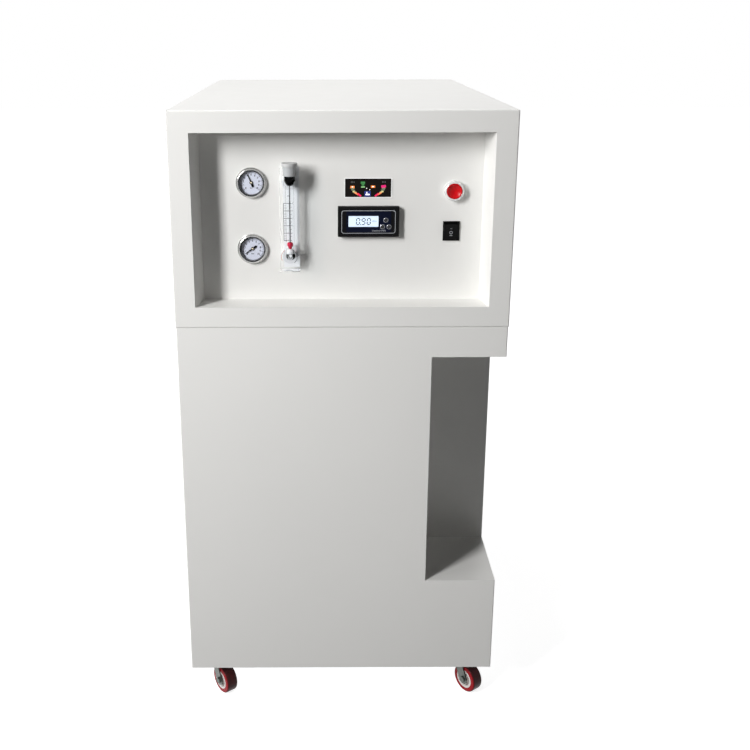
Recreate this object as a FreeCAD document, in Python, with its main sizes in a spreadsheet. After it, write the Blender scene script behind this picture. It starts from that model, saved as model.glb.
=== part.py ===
"""Floor-standing ultrapure water system on four casters.

Frame: +X to the viewer's right, +Y from the front to the back, +Z up. The origin is on the floor,
under the middle of the cabinet. All sizes are in millimetres.
"""
import FreeCAD, Part
import os
import re
import Sketcher

doc = FreeCAD.newDocument("ultrapure_water_system")
sheet = doc.addObject("Spreadsheet::Sheet", "Sizes")

SIZES = {
    # cabinet, in folded steel sheet
    "case_width": 525,
    "case_depth": 800,
    "upper_height": 336,
    "sheet_gauge": 1.5,
    "bend_radius": 2,
    "lower_inset": 1,
    "cover_gap": 0.6,
    "frame_side": 33,
    "frame_top": 33,
    "frame_bottom": 33,
    "frame_depth": 22,
    "recess_depth": 50,
    "recess_splay": 9,
    "panel_lap": 12,
    "seam_flange": 20,
    "rear_inset": 30,
    "pan_gauge": 2,
    "pan_rim": 25,
    # storage niche at the front right corner
    "niche_width": 119,
    "niche_depth": 147,
    "niche_floor_height": 172,
    "niche_header": 50,
    # pressure gauges
    "gauge_x": -141,
    "gauge_upper_rise": 221,
    "gauge_lower_rise": 116,
    "gauge_bezel_radius": 24,
    "gauge_bezel_height": 8,
    "gauge_bezel_chamfer": 1.5,
    "gauge_body_radius": 20,
    "gauge_body_depth": 26,
    "gauge_lens_radius": 21,
    "gauge_lens_thickness": 1.5,
    "gauge_lens_level": 4,
    "gauge_cavity_radius": 18.8,
    "gauge_dial_thickness": 0.8,
    "gauge_dial_level": -1,
    "gauge_spindle_radius": 0.8,
    "gauge_stem_radius": 5,
    "gauge_stem_length": 18,
    "pointer_hub_radius": 2.6,
    "pointer_thickness": 0.8,
    "pointer_length": 14.5,
    "pointer_tail": 6,
    "pointer_lift": 0.6,
    "pointer_upper_angle": 23,
    "pointer_lower_angle": 125,
    # flowmeter: a clear block carried by two ports
    "flow_x": -80.5,
    "flow_rise": 88.5,
    "flow_width": 30,
    "flow_height": 161,
    "flow_depth": 28,
    "flow_standoff": 14,
    "flow_bore_radius": 6.5,
    "flow_chamber_radius": 9,
    "flow_socket_radius": 10.5,
    "flow_seat_height": 26,
    "flow_seat_thickness": 7,
    "flow_socket_depth": 14,
    "flow_stop_length": 15,
    "flow_stop_tip_radius": 4,
    "flow_rod_radius": 1,
    "flow_plug_radius": 12.5,
    "flow_plug_cap": 6,
    "flow_inlet_height": 19,
    "flow_outlet_drop": 26,
    "flow_port_radius": 6.5,
    "flow_port_channel": 4,
    "flow_collar_radius": 12.4,
    "flow_port_tail": 24,
    "float_radius": 4.7,
    "float_height": 10,
    "float_foot_radius": 2.6,
    # running clearances
    "bearing_clearance": 0.06,
    "slide_clearance": 0.1,
    "rest_gap": 0.3,
    "fit_gap": 0.2,
    # level indicator
    "indicator_x": 41,
    "indicator_rise": 212.5,
    "indicator_width": 72,
    "indicator_height": 29,
    "indicator_depth": 30,
    "indicator_lap": 4,
    "window_thickness": 2,
    "window_proud": 0.3,
    # conductivity meter
    "meter_x": 41.8,
    "meter_rise": 160.2,
    "meter_width": 96,
    "meter_height": 48,
    "meter_proud": 10,
    "meter_body_width": 91,
    "meter_body_height": 44,
    "meter_body_depth": 62,
    "meter_rim": 4,
    "meter_face_recess": 0.8,
    "display_x": -7.9,
    "display_rise": 0.9,
    "display_width": 47,
    "display_height": 17.2,
    "display_thickness": 1.2,
    "key_column": 27,
    "key_rise": 3,
    "key_pitch_x": 5.1,
    "key_drop": 10.6,
    "key_radius": 3.9,
    "key_proud": 1.6,
    "key_travel": 0.8,
    "key_stem": 5,
    # push-button
    "button_x": 175,
    "button_rise": 208.2,
    "button_ring_radius": 15.2,
    "button_ring_height": 11,
    "button_cap_radius": 12,
    "button_cap_height": 12,
    "button_dish": 1.2,
    "button_travel": 4,
    "button_floor": 1.4,
    "button_stem_radius": 5,
    "button_stem_length": 16,
    "button_barrel_radius": 11,
    "button_barrel_length": 22,
    "button_nut_radius": 14,
    "button_nut_thickness": 4,
    "button_block_width": 28,
    "button_block_depth": 26,
    # rocker switch
    "switch_x": 172.6,
    "switch_rise": 144,
    "switch_width": 26,
    "switch_height": 31,
    "switch_flange": 2,
    "switch_body_width": 24,
    "switch_body_height": 28.4,
    "switch_body_depth": 26,
    "switch_wall": 0.7,
    "rocker_half_length": 12,
    "rocker_rise": 4.8,
    "rocker_dip": 2.6,
    "rocker_belly": 4,
    "rocker_angle": 10,
    "rocker_pin_radius": 1.5,
    "rocker_pivot_depth": 1,
    # casters
    "caster_inset_x": 44.5,
    "caster_inset_y": 50,
    "caster_turn": -53,
    "caster_trail": 18,
    "wheel_radius": 25,
    "wheel_width": 21,
    "wheel_hub_radius": 17,
    "wheel_rim": 3.5,
    "wheel_boss_radius": 7,
    "wheel_web": 10,
    "tyre_round": 3,
    "wheel_headroom": 9,
    "wheel_side_gap": 0.8,
    "axle_radius": 3,
    "axle_head_radius": 5.2,
    "axle_head_length": 3,
    "fork_gauge": 2,
    "fork_crown_radius": 17,
    "fork_leg_half_width": 10,
    "fork_leg_end": 9,
    "race_radius": 15.5,
    "race_height": 5.5,
    "race_gap": 0.5,
    "kingpin_radius": 5,
    "kingpin_head_radius": 8,
    "kingpin_head": 2.5,
    "plate_gauge": 3,
    "plate_length": 62,
    "plate_width": 50,
    "plate_hole_x": 46,
    "plate_hole_y": 34,
    "bolt_radius": 3,
    "bolt_head_radius": 5.5,
    "bolt_head": 4,
    "bolt_nut": 5,
    "hole_clearance": 0.4,
    # pre-filters: three housings for 20 inch cartridges
    "cartridge_length": 508,
    "cartridge_radius": 31,
    "cartridge_core_radius": 14,
    "sump_margin": 14,
    "sump_floor_gap": 18,
    "sump_radius": 49,
    "sump_wall": 5,
    "filter_head_height": 60,
    "filter_head_radius": 56,
    "filter_pitch": 146,
    "filter_y": 180,
    "filter_port_radius": 13,
    "filter_port_reach": 62,
    "filter_port_drop": 30,
    "bracket_gauge": 2,
    "bracket_drop": 20,
    "bracket_depth": 90,
    "bracket_tab": 16,
    # reverse osmosis membranes, in the upper case
    "membrane_x": -150,
    "membrane_pitch": 105,
    "membrane_y": -190,
    "membrane_length": 320,
    "membrane_radius": 42,
    "membrane_cap_radius": 46,
    "membrane_cap_length": 34,
    "cradle_height": 12,
    "cradle_width": 60,
    "cradle_length": 22,
    "cradle_inset": 62,
    # booster pump, on the base pan
    "pump_x": -130,
    "pump_inset": 140,
    "pump_motor_radius": 44,
    "pump_motor_length": 110,
    "pump_head_size": 88,
    "pump_head_length": 62,
    "pump_foot_height": 14,
    "pump_foot_radius": 9,
    "pump_plate_gauge": 3,
    "pump_plate_lift": 4,
    # polishing columns, on the base pan
    "column_x": 60,
    "column_pitch": 120,
    "column_y": -60,
    "column_radius": 45,
    "column_height": 420,
    "column_cap_radius": 49,
    "column_cap_height": 26,
    # valves and power supply, on the upper floor
    "valve_x": 110,
    "valve_pitch": 70,
    "valve_y": 20,
    "valve_body": 34,
    "valve_coil_radius": 17,
    "valve_coil_height": 44,
    "valve_port_radius": 8,
    "valve_port_reach": 30,
    "supply_x": 170,
    "supply_y": -170,
    "supply_width": 98,
    "supply_length": 160,
    "supply_height": 42,
    # rear panels and connections
    "port_x": -190,
    "port_pitch": 50,
    "port_rise": 70,
    "port_bore_radius": 3.25,
    "port_collet_radius": 7,
    "port_collet_length": 15,
    "port_nut_radius": 11,
    "port_nut_thickness": 6,
    "port_tail": 24,
    "inlet_x": 190,
    "inlet_rise": 70,
    "inlet_width": 50,
    "inlet_height": 28,
    "inlet_flange": 3,
    "inlet_socket_width": 25,
    "inlet_socket_height": 16.5,
    "inlet_socket_depth": 17,
    "inlet_depth": 24,
    "inlet_pin_pitch": 7,
    "inlet_pin_gauge": 2,
    "inlet_pin_height": 4,
    "vent_width": 60,
    "vent_height": 4,
    "vent_pitch": 14,
    "vent_rise": 170,
    "rear_screw_radius": 2,
    "rear_screw_head_radius": 4,
    "rear_screw_head": 2.4,
    "rear_screw_length": 10,
    "rear_screw_inset": 9,
    "rear_lap": 18,
    # ways for the water and the wiring
    "water_bore_radius": 2.2,
    "floor_opening_width": 70,
    "floor_opening_depth": 50,
    "floor_opening_x": -215,
    "floor_opening_y": 60,
}

for row, (alias, size) in enumerate(SIZES.items(), 1):
    sheet.set(f"A{row}", alias)
    sheet.set(f"B{row}", str(size))
    sheet.setAlias(f"B{row}", alias)
doc.recompute()

ORIGIN = FreeCAD.Vector()
TURNS = {
    "x": FreeCAD.Rotation(FreeCAD.Vector(0, 1, 0), 90),
    "y": FreeCAD.Rotation(FreeCAD.Vector(1, 0, 0), -90),
    "z": FreeCAD.Rotation(),
}
FACING_FRONT = FreeCAD.Rotation(FreeCAD.Vector(1, 0, 0), 90)
ABOUT_Z = FreeCAD.Rotation(FreeCAD.Vector(0, 0, 1), 0)
pieces = {}

# places that several pieces share
FRONT = "(-case_depth / 2)"
BACK = "(case_depth / 2)"
HALF = "(case_width / 2)"
PLATE_BOTTOM = "(2 * wheel_radius + wheel_headroom + fork_gauge + race_height + race_gap)"
CASE_BOTTOM = f"({PLATE_BOTTOM} + plate_gauge)"
SUMP_LENGTH = "(cartridge_length + sump_margin)"
FILTER_TOP = f"({CASE_BOTTOM} + pan_gauge + sump_floor_gap + {SUMP_LENGTH} + filter_head_height)"
SEAM = f"({FILTER_TOP} + bracket_gauge + bracket_drop)"
TOP = f"({SEAM} + upper_height)"
PANEL_FACE = f"({FRONT} + recess_depth)"
LOWER_HALF = f"({HALF} - lower_inset)"
LOWER_FRONT = f"({FRONT} + lower_inset)"
INNER_HALF = f"({LOWER_HALF} - sheet_gauge)"
PAN_TOP = f"({CASE_BOTTOM} + pan_gauge)"
UPPER_FLOOR = f"({SEAM} + sheet_gauge)"
REAR_FACE = f"({BACK} - rear_inset)"
NICHE_LEFT = f"({LOWER_HALF} - niche_width)"
NICHE_BACK = f"({LOWER_FRONT} + niche_depth)"
NICHE_FLOOR = f"({CASE_BOTTOM} + niche_floor_height)"
NICHE_TOP = f"({SEAM} - niche_header)"
COVER_HALF = f"({HALF} - sheet_gauge)"
FLOW_PORTS = ("flow_inlet_height", "(flow_height - flow_outlet_drop)")
FLOW_SOCKET = "(flow_height - flow_socket_depth)"
FLOW_STOP = f"({FLOW_SOCKET} - flow_stop_length)"
PORTS = 4
VENTS = 6


# ---- helpers: every size and place is an expression on the sheet -------------------------------

def tie(text):
    """Names the sheet in front of each alias, as an expression needs."""
    return re.sub(r"[a-z][a-z_0-9]*", lambda m: f"Sizes.{m[0]}" if m[0] in SIZES else m[0], str(text))


def value(text):
    """The number that an expression gives with the sheet's sizes."""
    return float(sheet.evalExpression(str(text)))


def new_body(name):
    return doc.addObject("PartDesign::Body", name)


def keep(piece, label):
    """Names a finished sub-part, which is written to its own file."""
    piece.Label = label
    pieces[label] = piece
    return piece


def group(label, members):
    """Separate solids that are kept as one sub-part."""
    compound = doc.addObject("Part::Compound", label)
    compound.Links = members
    return keep(compound, label)


def put(piece, at, turn=None, angle=None):
    """Places a sub-part, turned by a fixed rotation or by an angle that the sheet gives."""
    piece.Placement = FreeCAD.Placement(ORIGIN, turn or FreeCAD.Rotation())
    for letter, text in zip("xyz", at):
        piece.setExpression(f"Placement.Base.{letter}", tie(text))
    if angle:
        piece.setExpression("Placement.Rotation.Angle", tie(angle))


def on_panel(piece, x, rise):
    """Places a sub-part on the control panel: its own X is right, Y is up and Z is out."""
    put(piece, (x, PANEL_FACE, f"{SEAM} + {rise}"), FACING_FRONT)


def form(owner, kind, at, axis="z", **sizes):
    """Adds a PartDesign primitive to a body."""
    feature = owner.newObject(f"PartDesign::{kind}", f"{owner.Name}_{kind}")
    feature.Placement = FreeCAD.Placement(ORIGIN, TURNS[axis])
    for key, text in sizes.items():
        feature.setExpression(key, tie(text))
    for letter, text in zip("xyz", at):
        feature.setExpression(f"Placement.Base.{letter}", tie(text))
    return feature


def slab(owner, x, y, z, cut=False):
    """A block between two expressions along each axis, added or cut away."""
    length, width, height = (f"({b}) - ({a})" for a, b in (x, y, z))
    kind = "SubtractiveBox" if cut else "AdditiveBox"
    return form(owner, kind, (x[0], y[0], z[0]), Length=length, Width=width, Height=height)


def rod(owner, at, radius, length, axis="z", cut=False):
    """A cylinder from `at` along an axis, added or cut away."""
    kind = "SubtractiveCylinder" if cut else "AdditiveCylinder"
    return form(owner, kind, at, axis, Radius=radius, Height=length)


def centred(size):
    """Both ends of a size that is centred on zero."""
    return (f"-({size}) / 2", f"({size}) / 2")


def outline(owner, role, offset, points):
    """A closed sketch on one of the body's origin planes, with every corner set by expressions."""
    sketch = owner.newObject("Sketcher::SketchObject", f"{owner.Name}_outline")
    plane = next(o for o in owner.Origin.OriginFeatures if o.Role == role)
    sketch.AttachmentSupport = [(plane, "")]
    sketch.MapMode = "FlatFace"
    for letter, text in zip("xyz", offset):
        sketch.setExpression(f"AttachmentOffset.Base.{letter}", tie(text))
    corners = [FreeCAD.Vector(value(a), value(b), 0) for a, b in points]
    count = len(corners)
    for i in range(count):
        sketch.addGeometry(Part.LineSegment(corners[i], corners[(i + 1) % count]), False)
    for i in range(count):
        sketch.addConstraint(Sketcher.Constraint("Coincident", i, 2, (i + 1) % count, 1))
    for i, pair in enumerate(points):
        for kind, text, seed in zip(("DistanceX", "DistanceY"), pair, corners[i]):
            index = sketch.addConstraint(Sketcher.Constraint(kind, -1, 1, i, 1, seed))
            sketch.renameConstraint(index, f"{kind}_{i}")
            sketch.setExpression(f"Constraints.{kind}_{i}", tie(text))
    return sketch


def pad(owner, along, start, end, points, cut=False):
    """A flat outline, drawn out along an axis from `start` to `end`, added or cut away."""
    role = {"x": "YZ_Plane", "y": "XZ_Plane", "z": "XY_Plane"}[along]
    level = f"-({end})" if along == "y" else start
    kind = "Pocket" if cut else "Pad"
    sketch = outline(owner, role, ("0", "0", level), points)
    feature = owner.newObject(f"PartDesign::{kind}", f"{owner.Name}_{kind}")
    feature.Profile = sketch
    feature.Reversed = cut
    feature.setExpression("Length", tie(f"({end}) - ({start})"))
    return feature


def spin(owner, points, about="z", at=("0", "0", "0")):
    """Turns an outline of (radius, height) points about an axis through `at`."""
    x, y, z = at
    role = {"z": "XZ_Plane", "y": "XY_Plane"}[about]
    offset = (x, z, f"-({y})") if about == "z" else (x, y, z)
    sketch = outline(owner, role, offset, points)
    feature = owner.newObject("PartDesign::Revolution", f"{owner.Name}_turned")
    feature.Profile = sketch
    feature.ReferenceAxis = (sketch, ["V_Axis"])
    feature.Angle = 360
    return feature


def round_edges(owner, radius, chosen):
    """Rounds the edges of a body that `chosen` picks, by an expression."""
    doc.recompute()
    base = owner.Tip
    names = [f"Edge{i}" for i, edge in enumerate(base.Shape.Edges, 1) if chosen(edge.BoundBox)]
    fillet = owner.newObject("PartDesign::Fillet", f"{owner.Name}_rounding")
    fillet.Base = (base, names)
    fillet.setExpression("Radius", tie(radius))
    return fillet


def near(a, b):
    return abs(a - b) < 1e-4


# ---- cabinet ------------------------------------------------------------------------------------

def make_upper_cover():
    """Folded U of sheet: the top and both sides of the upper case."""
    cover = new_body("upper_cover")
    inner, top = f"({HALF} - sheet_gauge)", f"({TOP} - sheet_gauge)"
    points = [
        (f"-{HALF}", SEAM), (f"-{inner}", SEAM), (f"-{inner}", top), (inner, top),
        (inner, SEAM), (HALF, SEAM), (HALF, TOP), (f"-{HALF}", TOP),
    ]
    pad(cover, "y", f"{FRONT} + frame_depth + cover_gap", BACK, points)
    level, half = value(TOP), value(HALF)
    round_edges(cover, "bend_radius", lambda b: b.YLength > 1 and near(b.ZMax, level)
                and near(abs(b.XMax), half) and near(b.ZLength, 0))
    rear_flanges(cover, "upper", COVER_HALF, UPPER_FLOOR, f"{TOP} - sheet_gauge")
    keep(cover, "upper_cover")


def make_front_frame():
    """Bezel of the upper case: a folded rim round a splayed recess that holds the panel."""
    frame = new_body("front_frame")
    slab(frame, (f"-{HALF}", HALF), (FRONT, f"{FRONT} + frame_depth"), (SEAM, TOP))
    front, half, low, high = value(FRONT), value(HALF), value(SEAM), value(TOP)

    def at_corner(box):
        long_way = near(box.ZMin, low) and near(box.ZMax, low) or near(box.ZMin, high)
        along_y = not near(box.YLength, 0) and near(box.ZMin, high)
        on_face = near(box.YLength, 0) and near(box.YMin, front)
        side = near(abs(box.XMin), half) and near(abs(box.XMax), half) and not near(box.ZLength, 0)
        return along_y or on_face and (side or long_way)

    round_edges(frame, "bend_radius", at_corner)
    inner = f"({HALF} - sheet_gauge)"
    slab(frame, (f"-{inner}", inner), (f"{FRONT} + sheet_gauge", f"{FRONT} + frame_depth"),
         (f"{SEAM} + sheet_gauge", f"{TOP} - sheet_gauge"), cut=True)
    flange = f"({HALF} - frame_side - recess_splay + panel_lap)"
    slab(frame, (f"-{flange}", flange), (f"{PANEL_FACE} - sheet_gauge", PANEL_FACE),
         (f"{SEAM} + frame_bottom - panel_lap", f"{TOP} - frame_top + panel_lap"))
    for cut in (False, True):
        wall = "0" if cut else "sheet_gauge"
        mouth = f"{HALF} - frame_side + {wall}"
        throat = f"{mouth} - recess_splay"
        low, high = f"{SEAM} + frame_bottom - {wall}", f"{TOP} - frame_top + {wall}"
        kind = "SubtractiveWedge" if cut else "AdditiveWedge"
        form(frame, kind, ("0", "0", "0"), Ymin=FRONT, Ymax=PANEL_FACE,
             Xmin=f"-({mouth})", Xmax=mouth, X2min=f"-({throat})", X2max=throat,
             Zmin=low, Zmax=high, Z2min=low, Z2max=high)
    keep(frame, "front_frame")


def make_control_panel():
    """Flat plate behind the recess, with a hole for each instrument."""
    panel = new_body("control_panel")
    half = f"({HALF} - frame_side - recess_splay + panel_lap)"
    depth = (PANEL_FACE, f"{PANEL_FACE} + sheet_gauge")
    slab(panel, (f"-{half}", half), depth,
         (f"{SEAM} + frame_bottom - panel_lap", f"{TOP} - frame_top + panel_lap"))
    round_holes = [
        ("gauge_x", "gauge_upper_rise", "gauge_body_radius"),
        ("gauge_x", "gauge_lower_rise", "gauge_body_radius"),
        ("button_x", "button_rise", "button_barrel_radius"),
    ]
    for height in FLOW_PORTS:
        round_holes.append(("flow_x", f"flow_rise + {height}", "flow_port_radius"))
    for x, rise, radius in round_holes:
        rod(panel, (x, PANEL_FACE, f"{SEAM} + {rise}"), f"{radius} + fit_gap", "sheet_gauge", "y", True)
    square_holes = [
        ("indicator_x", "indicator_rise", "indicator_width", "indicator_height"),
        ("meter_x", "meter_rise", "meter_body_width", "meter_body_height"),
        ("switch_x", "switch_rise", "switch_body_width", "switch_body_height"),
    ]
    for x, rise, width, height in square_holes:
        across, up = f"({width} / 2 + fit_gap)", f"({height} / 2 + fit_gap)"
        slab(panel, (f"{x} - {across}", f"{x} + {across}"), depth,
             (f"{SEAM} + {rise} - {up}", f"{SEAM} + {rise} + {up}"), cut=True)
    keep(panel, "control_panel")


def make_upper_floor():
    """Plate between the two cases, which carries the membranes, valves and power supply."""
    floor = new_body("upper_floor_plate")
    inner = f"({HALF} - sheet_gauge)"
    slab(floor, (f"-{inner}", inner), (f"{FRONT} + frame_depth + cover_gap", REAR_FACE),
         (SEAM, UPPER_FLOOR))
    slab(floor, ("floor_opening_x", "floor_opening_x + floor_opening_width"),
         ("floor_opening_y", "floor_opening_y + floor_opening_depth"), (SEAM, UPPER_FLOOR), cut=True)
    keep(floor, "upper_floor_plate")


def make_lower_shell():
    """Folded U of sheet: the front and both sides of the lower case, open at the niche."""
    shell = new_body("lower_shell")
    slab(shell, (f"-{LOWER_HALF}", LOWER_HALF), (LOWER_FRONT, BACK), (CASE_BOTTOM, SEAM))
    front, half = value(LOWER_FRONT), value(LOWER_HALF)
    round_edges(shell, "bend_radius", lambda b: b.ZLength > 1 and near(b.YMin, front)
                and near(b.YMax, front) and near(abs(b.XMin), half))
    slab(shell, (f"-{INNER_HALF}", INNER_HALF), (f"{LOWER_FRONT} + sheet_gauge", BACK),
         (CASE_BOTTOM, f"{SEAM} - sheet_gauge"), cut=True)
    lip = f"({INNER_HALF} - seam_flange)"
    slab(shell, (f"-{lip}", lip), (f"{LOWER_FRONT} + sheet_gauge + seam_flange", BACK),
         (f"{SEAM} - sheet_gauge", SEAM), cut=True)
    slab(shell, (NICHE_LEFT, HALF), (FRONT, NICHE_BACK), (NICHE_FLOOR, NICHE_TOP), cut=True)
    rear_flanges(shell, "lower", INNER_HALF, f"{PAN_TOP} + pan_rim", f"{SEAM} - sheet_gauge")
    keep(shell, "lower_shell")


def make_niche_liner():
    """Folded box that closes the niche at its left, back, top and bottom."""
    liner = new_body("niche_liner")
    front = f"{LOWER_FRONT} + sheet_gauge"
    slab(liner, (f"{NICHE_LEFT} - sheet_gauge", INNER_HALF), (front, f"{NICHE_BACK} + sheet_gauge"),
         (f"{NICHE_FLOOR} - sheet_gauge", f"{NICHE_TOP} + sheet_gauge"))
    slab(liner, (NICHE_LEFT, INNER_HALF), (front, NICHE_BACK), (NICHE_FLOOR, NICHE_TOP), cut=True)
    keep(liner, "niche_liner")


def caster_places():
    """Swivel axis of each caster, front left first."""
    for y in (f"({FRONT} + caster_inset_y)", f"({REAR_FACE} - caster_inset_y)"):
        for side in (-1, 1):
            yield f"{side} * ({HALF} - caster_inset_x)", y


def bolt_places():
    """Bolts of one caster plate, from its swivel axis."""
    for across in (-1, 1):
        for along in (-1, 1):
            yield f"{across} * plate_hole_x / 2", f"{along} * plate_hole_y / 2"


def make_base_pan():
    """Folded tray inside the foot of the lower case, on the four casters."""
    pan = new_body("base_pan")
    y = (f"{LOWER_FRONT} + sheet_gauge", REAR_FACE)
    slab(pan, (f"-{INNER_HALF}", INNER_HALF), y, (CASE_BOTTOM, f"{PAN_TOP} + pan_rim"))
    inner = f"({INNER_HALF} - pan_gauge)"
    slab(pan, (f"-{inner}", inner), (f"{y[0]} + pan_gauge", f"{y[1]} - pan_gauge"),
         (PAN_TOP, f"{PAN_TOP} + pan_rim"), cut=True)
    for x, y in caster_places():
        for across, along in bolt_places():
            rod(pan, (f"{x} + {across}", f"{y} + {along}", CASE_BOTTOM),
                "bolt_radius + hole_clearance", "pan_gauge", cut=True)
    keep(pan, "base_pan")


# ---- rear panels and connections ----------------------------------------------------------------

def rear_screw_places():
    """Screws at the corners of the two rear panels, as (case, x, z)."""
    cases = {
        "lower": (INNER_HALF, f"{CASE_BOTTOM} + pan_gauge + pan_rim", f"{SEAM} - sheet_gauge"),
        "upper": (COVER_HALF, UPPER_FLOOR, f"{TOP} - sheet_gauge"),
    }
    for case, (half, low, high) in cases.items():
        for side in (-1, 1):
            for z in (f"{low} + rear_screw_inset", f"{high} - rear_screw_inset"):
                yield case, f"{side} * ({half} - rear_screw_inset)", z


def rear_holes(owner, case, start):
    """Screw holes through one sheet of a case, from the level `start`."""
    for name, x, z in rear_screw_places():
        if name == case:
            rod(owner, (x, start, z), "rear_screw_radius", "sheet_gauge", "y", True)


def rear_flanges(owner, case, half, low, high):
    """Folded strips down both sides of a case, which the rear panel is screwed to."""
    for side in (-1, 1):
        edges = sorted((f"{side} * {half}", f"{side} * ({half} - rear_lap)"), key=value)
        slab(owner, edges, (f"{REAR_FACE} - sheet_gauge", REAR_FACE), (low, high))
    rear_holes(owner, case, f"{REAR_FACE} - sheet_gauge")


def make_rear_panels():
    """Two screwed panels, set in from the back edge so that nothing stands out behind."""
    depth = (REAR_FACE, f"{REAR_FACE} + sheet_gauge")
    upper = new_body("upper_rear_panel")
    slab(upper, (f"-{COVER_HALF}", COVER_HALF), depth, (UPPER_FLOOR, f"{TOP} - sheet_gauge"))
    lower = new_body("lower_rear_panel")
    slab(lower, (f"-{INNER_HALF}", INNER_HALF), depth, (CASE_BOTTOM, f"{SEAM} - sheet_gauge"))
    rear_holes(upper, "upper", REAR_FACE)
    rear_holes(lower, "lower", REAR_FACE)
    for i in range(PORTS):
        rod(upper, (f"port_x + {i} * port_pitch", REAR_FACE, f"{SEAM} + port_rise"),
            "port_collet_radius + fit_gap", "sheet_gauge", "y", True)
    across = "(inlet_width / 2 - inlet_flange + fit_gap)"
    up = "(inlet_height / 2 - inlet_flange + fit_gap)"
    slab(upper, (f"inlet_x - {across}", f"inlet_x + {across}"), depth,
         (f"{SEAM} + inlet_rise - {up}", f"{SEAM} + inlet_rise + {up}"), cut=True)
    for i in range(VENTS):
        z = f"{SEAM} + vent_rise + {i} * vent_pitch"
        slab(upper, centred("vent_width"), depth, (z, f"{z} + vent_height"), cut=True)
    keep(upper, "upper_rear_panel")
    keep(lower, "lower_rear_panel")


def make_rear_screws():
    """Pan-head screws of the rear panels."""
    screws = []
    for _, x, z in rear_screw_places():
        screw = new_body("rear_screw")
        rod(screw, (x, f"{REAR_FACE} + sheet_gauge", z), "rear_screw_head_radius", "rear_screw_head", "y")
        rod(screw, (x, f"{REAR_FACE} + sheet_gauge - rear_screw_length", z), "rear_screw_radius",
            "rear_screw_length", "y")
        screws.append(screw)
    group("rear_screws", screws)


def make_rear_ports():
    """Push-in connectors for the feed, product, drain and tank lines: bodies, nuts and collets."""
    ports = []
    for i in range(PORTS):
        port = new_body("rear_port")
        spin(port, [
            ("water_bore_radius", "-port_tail"), ("port_collet_radius", "-port_tail"),
            ("port_collet_radius", "sheet_gauge"), ("port_nut_radius", "sheet_gauge"),
            ("port_nut_radius", "sheet_gauge + port_nut_thickness"),
            ("port_collet_radius", "sheet_gauge + port_nut_thickness"),
            ("port_collet_radius", "sheet_gauge + port_collet_length"),
            ("port_bore_radius", "sheet_gauge + port_collet_length"),
            ("port_bore_radius", "sheet_gauge"), ("water_bore_radius", "sheet_gauge"),
        ])
        put(port, (f"port_x + {i} * port_pitch", REAR_FACE, f"{SEAM} + port_rise"), TURNS["y"])
        ports.append(port)
    group("rear_ports", ports)


def make_mains_inlet():
    """Flanged mains socket with three flat pins in its well."""
    inlet = new_body("mains_inlet")
    at = (f"{REAR_FACE} + sheet_gauge", f"{REAR_FACE} + sheet_gauge + inlet_flange")
    rise = f"{SEAM} + inlet_rise"

    def about(width, height, depth, cut=False):
        slab(inlet, (f"inlet_x - {width} / 2", f"inlet_x + {width} / 2"), depth,
             (f"{rise} - {height} / 2", f"{rise} + {height} / 2"), cut)

    about("inlet_width", "inlet_height", at)
    about("(inlet_width - 2 * inlet_flange)", "(inlet_height - 2 * inlet_flange)",
          (f"{at[0]} - inlet_depth", at[0]))
    about("inlet_socket_width", "inlet_socket_height", (f"{at[1]} - inlet_socket_depth", at[1]), True)
    for i in (-1, 0, 1):
        x = f"inlet_x + {i} * inlet_pin_pitch"
        slab(inlet, (f"{x} - inlet_pin_gauge / 2", f"{x} + inlet_pin_gauge / 2"),
             (f"{at[1]} - inlet_socket_depth", f"{at[1]} - inlet_flange"),
             (f"{rise} - inlet_pin_height / 2", f"{rise} + inlet_pin_height / 2"))
    keep(inlet, "mains_inlet")


# ---- instruments on the control panel: X right, Y up, Z out of the panel -------------------------

GAUGES = (
    ("upper", "gauge_upper_rise", "pointer_upper_angle"),
    ("lower", "gauge_lower_rise", "pointer_lower_angle"),
)


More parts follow.
